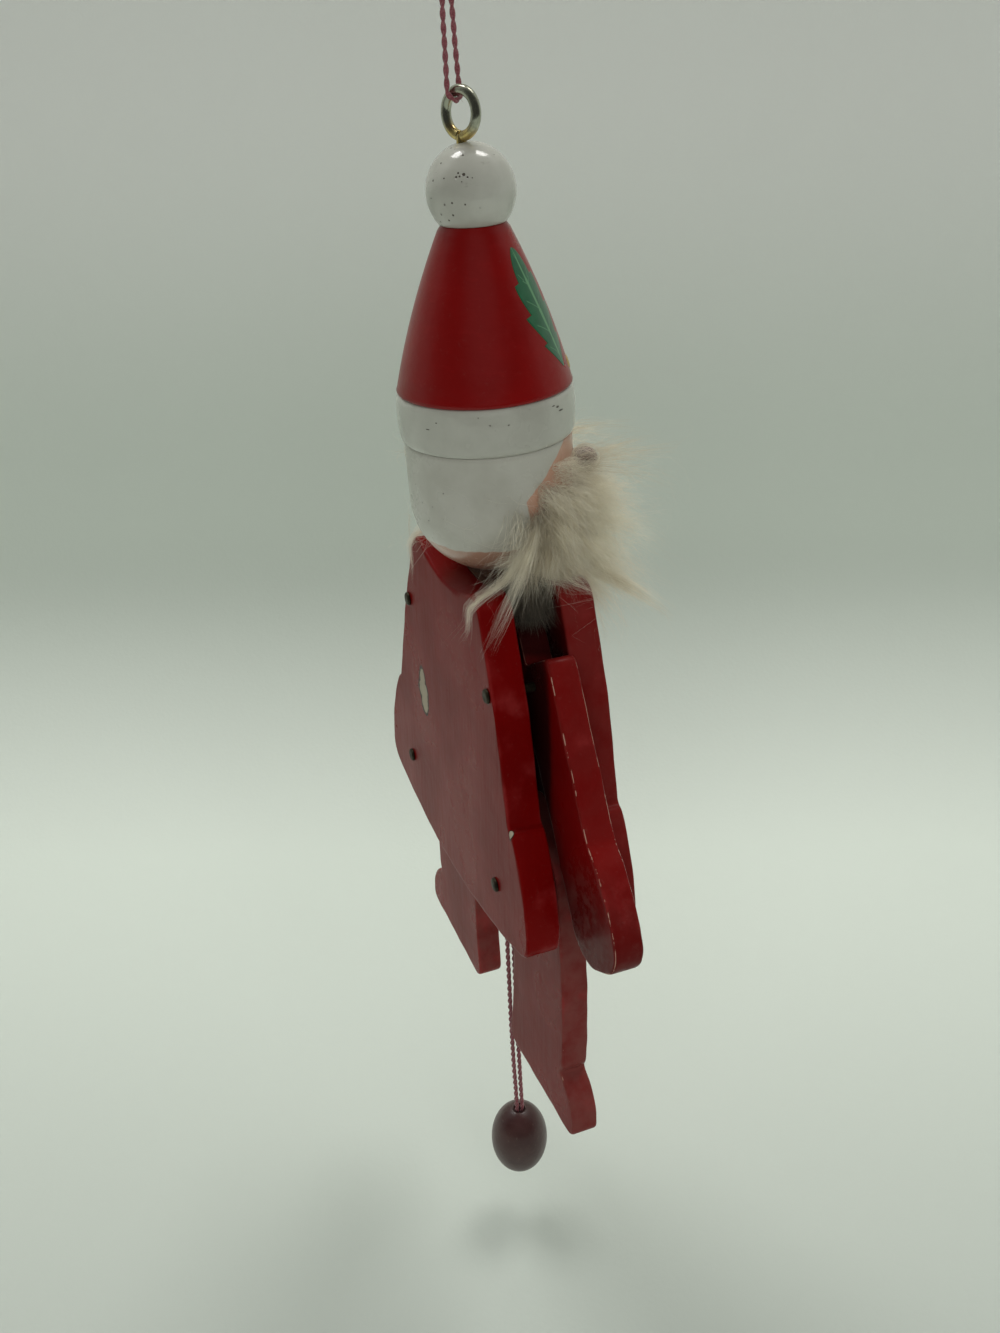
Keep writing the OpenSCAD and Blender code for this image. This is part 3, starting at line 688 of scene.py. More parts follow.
def head_paint():
    """White hair, a skin-coloured face and chin, pink cheeks and two small plain black eyes."""
    s = Shader("head_paint")
    around, up = s.mark("around"), s.mark("up")
    wobble = s.noise(240, 3)
    limit = s.math("MINIMUM", s.times(up, -5.45, 170.6), 87.0)
    limit = s.math("ADD", limit, s.times(wobble, 8.0, -4.0))
    face = s.ramp(s.math("SUBTRACT", limit, around), -0.5, 0.5)
    face = s.math("MAXIMUM", face, s.ramp(s.times(wobble, 1.6, up), 9.45, 9.2))
    cloud = s.noise(150, 4)
    hair = s.mix(s.ramp(cloud, 0.35, 0.75), (0.56, 0.55, 0.49), (0.48, 0.47, 0.41))
    skin = s.mix(s.ramp(cloud, 0.35, 0.75), (0.62, 0.36, 0.26), (0.55, 0.30, 0.21))
    cheek = s.ramp(oval(s, around, up, (40, 14.0), (15, 3.2)), 1.1, 0.3, 0, 0.7)
    skin = s.mix(cheek, skin, (0.56, 0.16, 0.13))
    skin = s.mix(s.ramp(up, 16.5, 12.5, 0, 0.5), skin, (0.33, 0.20, 0.15))
    colour = s.mix(face, hair, skin)
    eye = s.ramp(oval(s, around, up, (22, 17.6), (4.2, 1.25)), 1.04, 0.98)
    spark = s.ramp(oval(s, around, up, (20.6, 18.1), (1.1, 0.32)), 1.1, 0.9)
    colour = s.mix(eye, colour, (0.008, 0.008, 0.009))
    colour = s.mix(s.times(eye, spark), colour, (0.75, 0.75, 0.72))
    pits = s.times(s.ramp(s.specks(700), 0.12, 0.06), s.ramp(s.noise(90, 2), 0.56, 0.64))
    colour = s.mix(pits, colour, (0.09, 0.07, 0.06))
    grime = s.ramp(s.noise(420, 6, 0.7), 0.60, 0.78, 0, 0.35)
    colour = s.mix(grime, colour, (0.30, 0.26, 0.21))
    rough = s.times(grime, 0.5, s.ramp(cloud, 0.3, 0.7, 0.22, 0.36))
    relief = s.bump(s.math("SUBTRACT", s.noise(380, 3), pits), PAINT_RELIEF)
    return s.finish(Base_Color=colour, Roughness=rough, Normal=relief, Coat_Weight=0.3, Coat_Roughness=0.15)


def nose_paint():
    """Soiled dark paint with small pits."""
    s = Shader("nose_paint")
    pits = s.times(s.ramp(s.specks(1700), 0.40, 0.26), s.ramp(s.noise(500, 2), 0.36, 0.50))
    colour = s.mix(s.noise(600, 3), (0.13, 0.060, 0.058), (0.24, 0.155, 0.145))
    return s.finish(Base_Color=s.mix(pits, colour, (0.03, 0.010, 0.010)), Roughness=0.5, Coat_Weight=0.1,
                    Normal=s.bump(s.noise(900, 3), 0.04 * MM))


def on_axis(angle, up, r):
    """The point at an angle from the front in degrees, a height and a distance from the head's axis."""
    return [-r * np.sin(np.radians(angle)), -r * np.cos(np.radians(angle)), up]


def make_head():
    """Head, band, cap, bobble and nose, each a profile turned on the leaning axis."""
    def on_head_axis(name, profile, paint, node, uneven):
        turned(name, profile, at_head, "figure", paint, [node], uneven=uneven)

    jaw = domed(HEAD_R, HEAD_MID, np.radians(-84), 0, 34, HEAD_LOW)
    temple = bowed(HEAD_R - 0.005, HEAD_MID + 0.2, HEAD_R - 0.05, BAND_LOW, 0, 14)
    head = np.concatenate([[[AXIS_R, jaw[0, 1]]], jaw, temple])
    on_head_axis("head_turned", head, head_paint(), "head_ball", 0.004)
    scuffs = [(at_head(on_axis(angle, up, 11.85)), tuple(r * MM for r in size)) for angle, up, size in (
        (60, 26.9, (0.35, 0.35, 0.16)), (57, 26.3, (0.5, 0.5, 0.12)), (64, 27.2, (0.3, 0.3, 0.10)),
        (97, 26.2, (0.12, 0.3, 0.2)), (150, 25.6, (0.5, 0.25, 0.08)), (143, 26.6, (0.2, 0.1, 0.08)))]
    band = rounded(bowed(CAP_R - 0.025, BAND_LOW, CAP_R, CAP_LOW, 0.25, 30), 0.5)
    paint = white_paint("band_paint", (0.54, 0.54, 0.48), 0.9, scuffs)
    on_head_axis("band_turned", band, paint, "cap_band", 0.004)
    cap = rounded(bowed(CAP_R, CAP_LOW, CAP_TIP_R, CAP_TOP, CAP_BOW, 60), 0.35)
    paint = red_paint("cap_paint", grain=(0.5, 0.5, 1.4), wear=0.2, sheen=0.38, swell=(0.5, 0.5, 2.5),
                      depth=1.0)
    on_head_axis("cap_turned", cap, paint, "cap_cone", 0.004)
    specks = [(at_head(spot), (size * MM,) * 3) for spot, size in (
        ([-4.45, 2.40, 54.85], 0.22), ([-4.25, 2.85, 54.65], 0.16), ([-4.75, 2.05, 54.55], 0.14),
        ([-4.55, 2.75, 54.10], 0.12), ([-4.05, 2.95, 55.05], 0.13), ([-4.95, 1.55, 54.45], 0.10),
        ([-3.30, -2.10, 56.60], 0.14), ([-4.90, 2.65, 51.6], 0.12), ([-2.9, 4.4, 54.5], 0.12))]
    foot = np.arcsin((CAP_TOP - BOBBLE_MID) / BOBBLE_R)
    ball = domed(BOBBLE_R, BOBBLE_MID, foot, np.pi / 2 - 0.01, 60)
    paint = white_paint("bobble_paint", (0.58, 0.58, 0.52), 0.45, specks, 0.08)
    on_head_axis("bobble_turned", np.concatenate([[[AXIS_R, CAP_TOP]], ball]), paint,
                 "cap_bobble", 0.006)
    tip = domed(NOSE_R, NOSE_TIP - NOSE_R, 0, np.pi / 2 - 0.02, 20)
    peg = np.concatenate([[[AXIS_R, 8.5], [NOSE_R, 8.5], [NOSE_R, 11.0]], tip])
    turned("nose_peg", peg, lambda p: at_head(np.stack([p[:, 0], -p[:, 2], p[:, 1] + NOSE_UP], -1)),
           "figure", nose_paint(), ["nose"], 48, 0.01)


make_head()


def make_neck():
    """The peg in the head and the block between the boards, both of bare wood coloured dark as painted shade.
    """
    s = Shader("bare_wood")
    grain = s.noise(1100, 4, 0.6, s.stretched(1, 1, 0.12))
    # painted shade: the bare wood coloured dark, as it lies in shade between the boards
    colour = s.mix(s.ramp(grain, 0.3, 0.75), (0.16, 0.075, 0.045), (0.09, 0.04, 0.028))
    wood = s.finish(Base_Color=colour, Roughness=0.7, Normal=s.bump(grain, 0.08 * MM))
    peg = rounded(bowed(2.5, -3.4, 2.5, 10.0, 0, 8), 0.3)
    turned("neck_dowel", peg, at_head, "figure", wood, ["neck_peg"], 48)
    low, high = (np.array(corner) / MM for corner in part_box("neck_block"))
    ring = np.array([low[:2], [low[0], high[1]], high[:2], [high[0], low[1]]])
    ring = softened(filled(ring, 0.3), 2)
    rows, n = 12, len(ring)
    heights = np.linspace(low[2], high[2], rows)
    flat = np.broadcast_to(ring, (rows, n, 2))
    points = np.concatenate([flat, np.broadcast_to(heights[:, None, None], (rows, n, 1))], -1)
    faces, caps = tube(rows, n, True)
    piece("neck_block_wood", points * MM, faces, "figure", wood, ["neck_block"], extra=caps)


make_neck()


# metal: the bent eye and the nails
def metal(name, bright, dull, rough, worn=1.0, gilt=None):
    """Tarnished metal. worn scales the tarnish; gilt is a (spot, radii, tone) of another plating."""
    s = Shader(name)
    tarnish = s.ramp(s.noise(900, 5, 0.65), 0.42, 0.68)
    if gilt:
        spot, radii, tone = gilt
        bright = s.mix(s.ramp(s.near(spot, radii), 1.1, 0.5), bright, tone)
        tarnish = s.times(tarnish, worn)
    scratch = s.noise(2600, 3, 0.6, s.stretched(1, 1, 0.2))
    return s.finish(Base_Color=s.mix(tarnish, bright, dull), Metallic=s.ramp(tarnish, 0, 1, 1.0, 0.75),
                    Normal=s.bump(scratch, 0.03 * MM), Roughness=s.times(tarnish, 0.22, rough))


def make_eye():
    """A wire bent round: ring centre + (R + w cos b) outward + w sin b across, seam at the bottom."""
    gilt = (0, 0, -3 * MM), (3.2 * MM, 3.2 * MM, 2.8 * MM), (0.68, 0.52, 0.20)
    plating = metal("eye_brass", (0.46, 0.46, 0.37), (0.20, 0.19, 0.13), 0.16, 0.45, gilt)
    w, big, rows, cols, seam = EYE_WIRE / 2, EYE_D / 2, 150, 24, 4
    a = np.radians(np.linspace(seam - 90, 270 - seam, rows))[:, None]
    b = ring_steps(cols)[None, :]
    thick = w * np.ones_like(a)
    thick[[0, -1]] *= 0.75
    r, across = big + thick * np.cos(b), thick * np.sin(b)
    c, s = np.cos(EYE_TURN), np.sin(EYE_TURN)
    x, z = r * np.cos(a), r * np.sin(a)
    points = np.stack([x * c - across * s, x * s + across * c, z], -1)
    faces, caps = tube(rows, cols, True)
    piece("eye_ring", points * MM, faces, "figure", plating, ["screw_eye"], extra=caps)
    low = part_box("screw_eye")[0][2] / MM
    z = np.linspace(low, -big + 0.2, 90)
    pitch, cut, shoulder = 0.8, 0.10, -4.5
    thread = w * (1 + cut * np.where(z < shoulder, np.sin(2 * np.pi * z / pitch), 0))
    profile = np.stack([np.append(AXIS_R, thread), np.append(low, z)], -1)
    turned("eye_shank", profile, lambda p: p * MM, "figure", plating, [], 32)


def make_nails():
    """Flat heads with soft rims on thin shanks through both boards."""
    steel = metal("nail_steel", (0.065, 0.055, 0.038), (0.03, 0.024, 0.016), 0.52)
    head_r, head_base, head_tall, shank_r, point = 1.05, 8.55, 0.35, 0.6, -7.0
    a = np.linspace(0, 1, 12) * np.pi / 2
    head = np.stack([np.maximum(head_r * np.cos(a) ** 0.35, 0.03), head_base + head_tall * np.sin(a)], -1)
    shank = bowed(shank_r, point + 1, shank_r, 8.3, 0, 12)
    tip, neck = [[AXIS_R, point], [shank_r, point + 0.4]], [[1.0, 8.4], [head_r, 8.5]]
    profile = np.concatenate([tip, shank, neck, head])
    for limb, pivot in (("shoulder", SHOULDER), ("hip", HIP)):
        for side, sign in SIDES:
            spot = np.array([sign * pivot[0], 0, pivot[1]])
            turned(f"{side}_{limb}_nail_steel", profile,
                   lambda p: at_neck(np.stack([p[:, 0], p[:, 2], -p[:, 1]], -1) + spot),
                   "figure", steel, [f"{side}_{limb}_nail"], 40, 0.02)


def make_bead():
    """A turned oval with a hole right through: outer oval, then back up the bore."""
    s = Shader("bead_paint")
    cloud = s.noise(220, 4)
    colour = s.mix(s.ramp(cloud, 0.35, 0.7), (0.050, 0.016, 0.016), (0.070, 0.028, 0.026))
    dust = s.ramp(s.noise(1400, 5, 0.7), 0.58, 0.76, 0, 0.5)
    colour = s.mix(dust, colour, (0.16, 0.12, 0.10))
    paint = s.finish(Base_Color=colour, Roughness=s.times(dust, 0.4, 0.38), Coat_Weight=0.15,
                     Normal=s.bump(s.noise(700, 4), 0.07 * MM))
    bore_r, mouth_r, sunk, sides = 0.9, 1.15, 0.15, 96
    t = np.radians(np.linspace(-80, 80, 60))
    outer = np.stack([BEAD_R * np.cos(t) ** 0.9, BEAD_HALF * np.sin(t) / np.sin(t[-1])], -1)
    bore = np.stack([np.full(14, bore_r), np.linspace(BEAD_HALF - sunk, sunk - BEAD_HALF, 14)], -1)
    profile = np.concatenate([outer, [[mouth_r, BEAD_HALF]], bore, [[mouth_r, -BEAD_HALF]]])
    points = spun(profile[:, :1], profile[:, 1:], ring_steps(sides))
    piece("pull_bead_turned", at_neck(points + BEAD_MID), grid_quads(len(profile), sides, True, True),
          "pull_line", paint, ["pull_bead"])


make_eye()
make_nails()
make_bead()


# painted leaves and dots on the cap
def on_cap(angle, up, proud):
    """Cap surface point at an angle from the front (towards the figure's right) and a height."""
    t = (up - CAP_LOW) / (CAP_TOP - CAP_LOW)
    r = CAP_R + (CAP_TIP_R - CAP_R) * t + CAP_BOW * 4 * t * (1 - t) + proud
    return at_head(np.stack([-r * np.sin(angle), -r * np.cos(angle), up], -1))


def leaf_green():
    s = Shader("leaf_green")
    colour = s.mix(s.ramp(s.noise(420, 4), 0.3, 0.7), (0.010, 0.095, 0.040), (0.016, 0.135, 0.055))
    colour = s.mix(s.ramp(s.mark("vein"), 0.5, 0.9, 0, 0.8), colour, (0.14, 0.36, 0.17))
    relief = s.bump(s.noise(500, 3), 0.05 * MM)
    return s.finish(Base_Color=colour, Roughness=0.28, Normal=relief, Coat_Weight=0.3)


def dot_gold():
    s = Shader("dot_gold")
    colour = s.mix(s.noise(900, 3), (0.42, 0.27, 0.07), (0.60, 0.42, 0.14))
    relief = s.bump(s.noise(1200, 3), 0.04 * MM)
    return s.finish(Base_Color=colour, Roughness=0.35, Normal=relief, Coat_Weight=0.2)


def make_leaves():
    """A toothed leaf from its top to its foot (t) and across (q), with a rib and side veins, on
    both sides of the cap, and three small domes of paint in front."""
    green = leaf_green()
    t = np.linspace(0, 1, 160)[:, None]
    q = np.linspace(-1, 1, 41)[None, :]
    top, foot, top_angle, foot_angle, teeth, mean_r = 46, 31, 58, 40, 4, 8.6
    half = 3.3 * np.sin(np.pi * t**0.8) ** 0.8 * (0.66 + 0.34 * ((1 - t) * teeth % 1))
    rise, lean = foot - top, np.radians(foot_angle - top_angle) * mean_r
    long = np.hypot(rise, lean)
    u = np.radians(top_angle) + (lean * t - half * q * rise / long) / mean_r
    v = top + rise * t + half * q * lean / long
    ribs = np.clip(1 - np.abs(((t * 5 + np.abs(q) * 0.8) % 1) - 0.5) * 8, 0, 1) * (np.abs(q) < 0.75)
    vein = np.maximum(np.clip(1.4 - np.abs(q) * 8, 0, 1) * np.ones_like(t), 0.85 * ribs)
    coat = np.full(u.shape, 0.06)
    coat[[0, -1]] = coat[:, [0, -1]] = -0.04
    for side, sign in (("right", 1), ("left", -1)):
        faces = grid_quads(*u.shape)[:, ::-sign]
        points = on_cap(sign * u, v, coat)
        piece(f"{side}_leaf", points, faces, "figure", green, marks={"vein": vein})
    gold = dot_gold()
    a = ring_steps(24)
    rings = np.array([0.02, 0.5, 0.85, 1.0])[:, None]
    r, up, dome = 0.95 * rings, 30.7, 0.22 * np.sqrt(1 - (rings * 0.99) ** 2) - 0.03
    for k, spot in enumerate((-22, 0, 22)):
        points = on_cap(np.radians(spot) + r * np.cos(a) / 11.5, up + r * np.sin(a), dome)
        piece(f"dot_{k}", points, grid_quads(4, 24, close_cols=True), "figure", gold)


make_leaves()


# fur
def fur_material(name, light, dark):
    """Soft strands, greyer at their roots, that let half of the light through."""
    s = Shader(name)
    colour = s.mix(s.ramp(s.noise(300, 4), 0.3, 0.7), light, dark)
    colour = s.mix(s.ramp(s.mark("along"), 0.0, 0.5, 0.42, 0), colour, (0.38, 0.35, 0.28))
    s.finish(Base_Color=colour, Roughness=0.75, Sheen_Weight=0.2, Specular_IOR_Level=0.25)
    s.blend_surface(0.5, s.add("BsdfTranslucent", 0, {"Color": colour}))
    return s.material


def pressed(value, limit, stretch):
    """Values past the limit are pressed into a short stretch beyond it."""
    return np.where(value > limit, limit + stretch * np.tanh((value - limit) / stretch), value)


def parted(line, middle, way, need):
    """Points nearer than need to a straight line are moved out to it; need is read at the distance
    along the line."""
    run = ((line - middle) @ way)[..., None]
    aside = line - middle - run * way
    gap = np.linalg.norm(aside, axis=-1, keepdims=True)
    return middle + run * way + aside * np.maximum(gap, np.interp(run, *need)) / np.maximum(gap, 0.05)


def kept_close(line):
    """Bends wild strands back: within reach of the head, outside its paint, under the band and
    not far behind the boards. The fur is parted round the nose and towards the figure's right,
    where the nose shows."""
    middle = np.array([0, 0.8, 0])
    flat = (line - middle) * [1, 1, 0]
    r = np.linalg.norm(flat, axis=-1, keepdims=True)
    far = pressed(r, 23, 6)
    far = np.where(line[..., 2:] > 7, np.maximum(far, CAP_R), far)
    line = np.concatenate([(flat * far / r + middle)[..., :2], pressed(line[..., 2:], 17, 3.6)], -1)
    line[..., 1] = pressed(line[..., 1], 13, 6)
    nose_axis, forwards = np.array([0, 0, NOSE_UP + 0.8]), np.array([0, -1, 0])
    line = parted(line, nose_axis, forwards, ([11.0, 12.5, 14.0], [0.0, 1.9, 2.7]))
    nose_tip, to_right = np.array([0, -13.6, 16.1]), unit(np.array([-0.85, 0.43, 0.31]))
    return parted(line, nose_tip, to_right, ([-1.5, 0, 9, 14], [0, 2.1, 2.0, 0]))


def fur(name, roots, ways, material, width, nodes=()):
    """Ribbons along roots + ways (strand, step, xyz), each turned a random way and thinned to its tip."""
    strands, steps = ways.shape[:2]
    t = np.linspace(0, 1, steps)[None, :, None]
    half = rng.uniform(*width, (strands, 1, 1)) * 0.5 * np.sqrt(np.clip(1 - t**3, 0.02, 1))
    half = half * (0.35 + 0.65 * np.clip(1 - t, 0, 1) ** 0.5)
    side = unit(np.cross(unit(np.gradient(ways, axis=1)), unit(rng.normal(size=(strands, 1, 3)))))
    line = kept_close(roots[:, None, :] + ways)
    ribbons(name, line, side * half, "figure", "fur", material, nodes, at_neck,
            along=np.broadcast_to(t, (strands, steps, 2)))


def out_from_head(angle):
    """Level direction away from the head's axis; the angle runs from the front to the figure's right."""
    return np.stack([-np.sin(angle), -np.cos(angle), 0 * angle], -1)


def on_head(angle, up):
    """Points of the skin at an angle and a height, from the neck line."""
    r = HEAD_R * np.sqrt(np.clip(1 - (np.minimum(up - HEAD_MID, 0) / HEAD_LOW) ** 2, 0.1, 1))
    return at_head(out_from_head(angle) * r[:, None] + np.stack([0 * up, 0 * up, up], -1)) / MM - NECK


def hair_ways(angle, up, long, loose, rise=-0.1, flare=1.0):
    """A strand leaves the skin outwards, turns down and curls; loose scales its own lean and curl.
    rise lifts its start, flare scales how far it stands out."""
    t = np.linspace(0, 1, 9)[None, :, None]
    count = len(angle)
    out, front = out_from_head(angle), np.cos(angle)
    lift = rng.uniform(0.2, 0.9, count) * (0.45 + 0.55 * front)
    high = np.clip((up - 3) / 12, 0, 1) * (1 - front)
    none = 0 * high
    start = out * (flare * (0.85 + lift))[:, None] + np.stack([none, -0.45 * high, none + rise], -1)
    fall = out * (flare * (0.25 + 0.55 * lift))[:, None] + np.stack([none, -0.85 * high, none - 1], -1)
    start = unit(start + rng.normal(size=(count, 3)) * 0.30 * loose)
    fall = unit(fall + rng.normal(size=(count, 3)) * 0.42 * loose)
    ways = start[:, None, :] * (t - 0.5 * t**2) + fall[:, None, :] * 0.68 * t**1.5
    turns = rng.uniform(2.5, 8.0, (count, 1, 1))
    phase = rng.uniform(0, 2 * np.pi, (count, 1, 1))
    for wave in (np.sin, np.cos):
        side = rng.normal(size=(count, 1, 3)) * 0.42 * loose / turns
        ways = ways + side * (wave(phase + turns * t) - wave(phase)) * np.sqrt(t)
    return ways * long[:, None, None]


def past_board(roots, ways, way_out, face, top, soft, half, chosen=1.0):
    """Strands that would pass through a board, below its top and within half its width, are carried
    out past its face: in front where way_out is -1, behind where it is 1."""
    line = roots[:, None, :] + ways
    low = np.clip((top - line[..., 2]) / soft, 0, 1) * chosen
    over = np.maximum((face - line[..., 1]) * way_out, 0) * low * (np.abs(line[..., 0]) < half)
    return ways + way_out * over[..., None] * [0, 1, 0]


def clear_of_front(roots, ways):
    return past_board(roots, ways, -1, -9.0, 4.6, 2.5, 17)


def locks_of_fur(name, material, count, locks, width, bow=1.5, lowest=None):
    """Strands gathered in locks. Each row of locks is (share, start, end, hold): its part of the
    strands, the root's (angle, height on the head), the tip in mm from the neck line, and how
    tightly the lock keeps together. The way between bows outwards and stays above lowest.
    The right side is written, the left is its mirror."""
    share, starts, ends, hold = (np.array(column, float) for column in zip(*locks))
    lock = rng.choice(len(locks), count, p=share / share.sum())
    side = rng.choice([-1.0, 1.0], count, p=[0.4, 0.6])
    starts, ends, spread = starts[lock], ends[lock], 1 - hold[lock]
    angle = np.radians(starts[:, 0] + rng.normal(size=count) * 5 * spread)
    roots = on_head(angle, starts[:, 1] + rng.normal(size=count) * 1.1 * spread)
    t = np.linspace(0, 1, 11)[None, :, None]
    aim = ends - roots + rng.normal(size=(count, 3)) * [1.6, 2.6, 1.8] * spread[:, None]
    long = rng.uniform(0.45, 1.0, (count, 1, 1))
    out = (out_from_head(angle) + [0, 0, 0.7])[:, None, :] * (bow * rng.uniform(0.7, 1.3, (count, 1, 1)))
    turns, phase = rng.uniform(3, 7, (count, 1, 1)), rng.uniform(0, 2 * np.pi, (count, 1, 1))
    wave = rng.normal(size=(count, 1, 3)) * 0.45 * (np.sin(phase + turns * t) - np.sin(phase)) * t
    ways = aim[:, None, :] * t * long + out * 4 * t * (1 - 0.7 * t) + wave
    ways = past_board(roots, ways, 1, 9.2, 5.2, 2.8, 15, (ends[:, 1] > 9)[:, None])
    if lowest is not None:
        low = lowest - roots[:, None, 2]
        ways[..., 2] = low + 0.5 * np.logaddexp(0, (ways[..., 2] - low) / 0.5)
    mirror = np.stack([side, 1 + 0 * side, 1 + 0 * side], -1)
    fur(name, roots * mirror, ways * mirror[:, None, :], material, width)


def fur_places(count, wide=80, top_front=12.6):
    """Random roots on both cheeks and the chin, closer together in front and below."""
    share = rng.uniform(-1, 1, count)
    angle = np.radians(wide) * np.sign(share) * np.abs(share) ** 0.85
    top = top_front + 6.0 * (1 - np.cos(angle)) ** 0.8
    return angle, 3.0 + (top - 3.0) * rng.uniform(0, 1, count) ** 1.5


def both_sides(count, first, last):
    """Random angles between first and last degrees from the front, on either side."""
    return rng.choice([-1, 1], count) * np.radians(rng.uniform(first, last, count))


def make_full_beard(material):
    """Three layers of strands drawn towards the nearest of 300 loose locks."""
    t = np.linspace(0, 1, 9)[None, :, None]
    locks, count = 300, 7600
    lock_angle, lock_up = fur_places(locks)
    lock_long = rng.uniform(10, 17, locks) * (0.5 + 0.5 * np.cos(lock_angle))
    lock_long = lock_long * np.interp(lock_up, [4, 12], [1.2, 0.6])
    lock_ways = hair_ways(lock_angle, lock_up, lock_long, 1.3, flare=0.62)
    for group in range(3):
        angle, up = fur_places(count)
        mine = np.argmin(np.hypot((angle[:, None] - lock_angle) * HEAD_R, up[:, None] - lock_up), 1)
        long = lock_long[mine] * rng.uniform(0.4, 1.1, count)
        own = hair_ways(angle, up, long, 1.5, flare=0.62)
        hold = rng.uniform(0.2, 0.95, count)[:, None, None] * t
        ways = own * (1 - hold) + lock_ways[mine] * (long / lock_long[mine])[:, None, None] * hold
        roots = on_head(angle, up)
        fur(f"beard_fur_{group}", roots, clear_of_front(roots, ways), material, (0.025, 0.052),
            ["beard"] if group == 0 else ())


def make_locks(cream, darker_fur, painted_shade):
    """The locks that the photo shows one by one, and the fur at the throat in near-black as painted shade."""
    locks_of_fur("cheek_fur", cream, 1700, [
        (5, (84, 11.0), (-8.8, 10.2, -5.2), 0.85), (2.5, (80, 13.0), (-15.2, 9.8, -5.0), 0.75),
        (2, (88, 6.0), (-12.3, 7.5, 6.5), 0.5), (2.5, (66, 8.0), (-15.0, 2.0, 1.8), 0.6),
        (2, (74, 12.0), (-14.5, -4.0, 3.0), 0.3), (2, (86, 9.0), (-14.0, 5.0, 3.5), 0.4),
        (2, (95, 13.5), (-13.8, 5.5, 3.8), 0.1)], (0.022, 0.045), 2.2)
    locks_of_fur("outer_locks", cream, 2200, [
        (3, (50, 4.5), (-8.0, -23.5, -8.5), 0.9), (3, (62, 5.0), (-12.0, -11.6, -4.0), 0.8),
        (3, (30, 4.0), (-8.0, -20.0, -6.0), 0.8), (3, (44, 7.0), (-10.0, -15.5, -1.0), 0.75),
        (3, (20, 5.0), (-3.5, -19.0, -8.0), 0.8), (2, (58, 9.0), (-13.5, -10.5, 3.0), 0.7),
        (2, (36, 9.5), (-7.0, -20.5, 3.5), 0.6)], (0.022, 0.045), 2.0)
    # painted half shade: the jaw locks in the darker copy of the cream fur
    locks_of_fur("jaw_fur", darker_fur, 3400, [
        (3, (80, 12.0), (-13.0, 2.0, 7.0), 0.0), (3, (76, 9.0), (-14.5, 0.0, 3.0), 0.1),
        (3, (88, 7.5), (-14.0, 2.6, 2.6), 0.2), (2, (68, 6.0), (-15.5, -3.4, 3.6), 0.3),
        (2, (70, 14.0), (-14.0, -3.5, 6.5), 0.0)], (0.022, 0.045), 1.2)
    # painted shade: the throat locks in near-black fur where the head meets the boards
    locks_of_fur("throat_fur", painted_shade, 3800, [
        (3, (70, 4.0), (-15.0, 0.5, -2.8), 0.6), (3, (84, 3.6), (-14.5, 2.0, -2.4), 0.6),
        (1, (94, 4.0), (-12.5, 3.5, 0.5), 0.6), (3, (60, 3.6), (-14.8, -1.4, -2.4), 0.6)],
        (0.03, 0.06), 0.4, -1.9)
    locks_of_fur("wisp_fur", darker_fur, 640, [
        (2, (40, 17.5), (-2.0, -27.6, 14.6), 0.6), (2, (52, 18.5), (-5.0, -25.0, 10.5), 0.5),
        (4, (50, 5.0), (-8.0, -24.1, -9.5), 0.92), (3, (30, 17.2), (-1.5, -21.3, 17.2), 0.5),
        (2, (24, 16.6), (-1.2, -17.2, 18.6), 0.3)], (0.02, 0.035), 1.8)


def make_beard():
    """Soft fur from temple to temple: strands gathered into loose locks, a moustache round the nose,
    locks hanging over the shoulders and a halo of fine stray fibres."""
    # the cream fur, a darker copy of it used as painted half shade on the jaw, and a near-black copy as
    # painted shade
    cream = fur_material("fur_cream", (0.98, 0.94, 0.82), (0.84, 0.79, 0.67))
    darker_fur = fur_material("fur_darker", (0.84, 0.78, 0.64), (0.64, 0.58, 0.46))
    painted_shade = fur_material("fur_in_shade", (0.24, 0.21, 0.17), (0.14, 0.12, 0.09))
    make_full_beard(cream)

    count = 3600
    angle = both_sides(count, 9, 42)
    up = rng.uniform(11.0, 14.2, count) + 4.0 * np.abs(angle) * rng.uniform(0, 1, count)
    roots, ways = on_head(angle, up), hair_ways(angle, up, rng.uniform(4, 9, count), 1.3, rise=0.25)
    fur("moustache_fur", roots, clear_of_front(roots, ways), cream, (0.025, 0.05))

    count = 2600
    angle = both_sides(count, 36, 68)
    up = rng.uniform(10.0, 20.6, count)
    long = rng.uniform(3, 8, count) * np.interp(up, [14, 17], [1, 0.62])
    ways = hair_ways(angle, up, long, 1.2, rise=0.8, flare=0.6)
    fur("temple_fur", on_head(angle, up), ways, cream, (0.02, 0.045))

    make_locks(cream, darker_fur, painted_shade)

    count = 60
    angle = np.radians(-158 + rng.normal(size=count) * 7)
    up = np.where(rng.uniform(size=count) < 0.5, 20.0, 8.5) + rng.normal(size=count) * 0.8
    ways = hair_ways(angle, up, rng.uniform(4, 7, count), 2.2, rise=0.2)
    fur("nape_wisps", on_head(angle, up), ways, cream, (0.02, 0.035))

    count = 1300
    angle, up = fur_places(count, 62, 16.0)
    up = np.maximum(up, 6.0)
    long = rng.uniform(7, 14, count) * (0.4 + 0.6 * np.cos(angle))
    roots, ways = on_head(angle, up), hair_ways(angle, up, long, 2.6, rise=0.1, flare=0.8)
    fur("stray_fur", roots, clear_of_front(roots, ways), cream, (0.018, 0.032))


make_beard()


# floor, backdrop and light, with lengths in metres; the floor lies just below the bead at full pull
FLOOR_UP = -0.1965


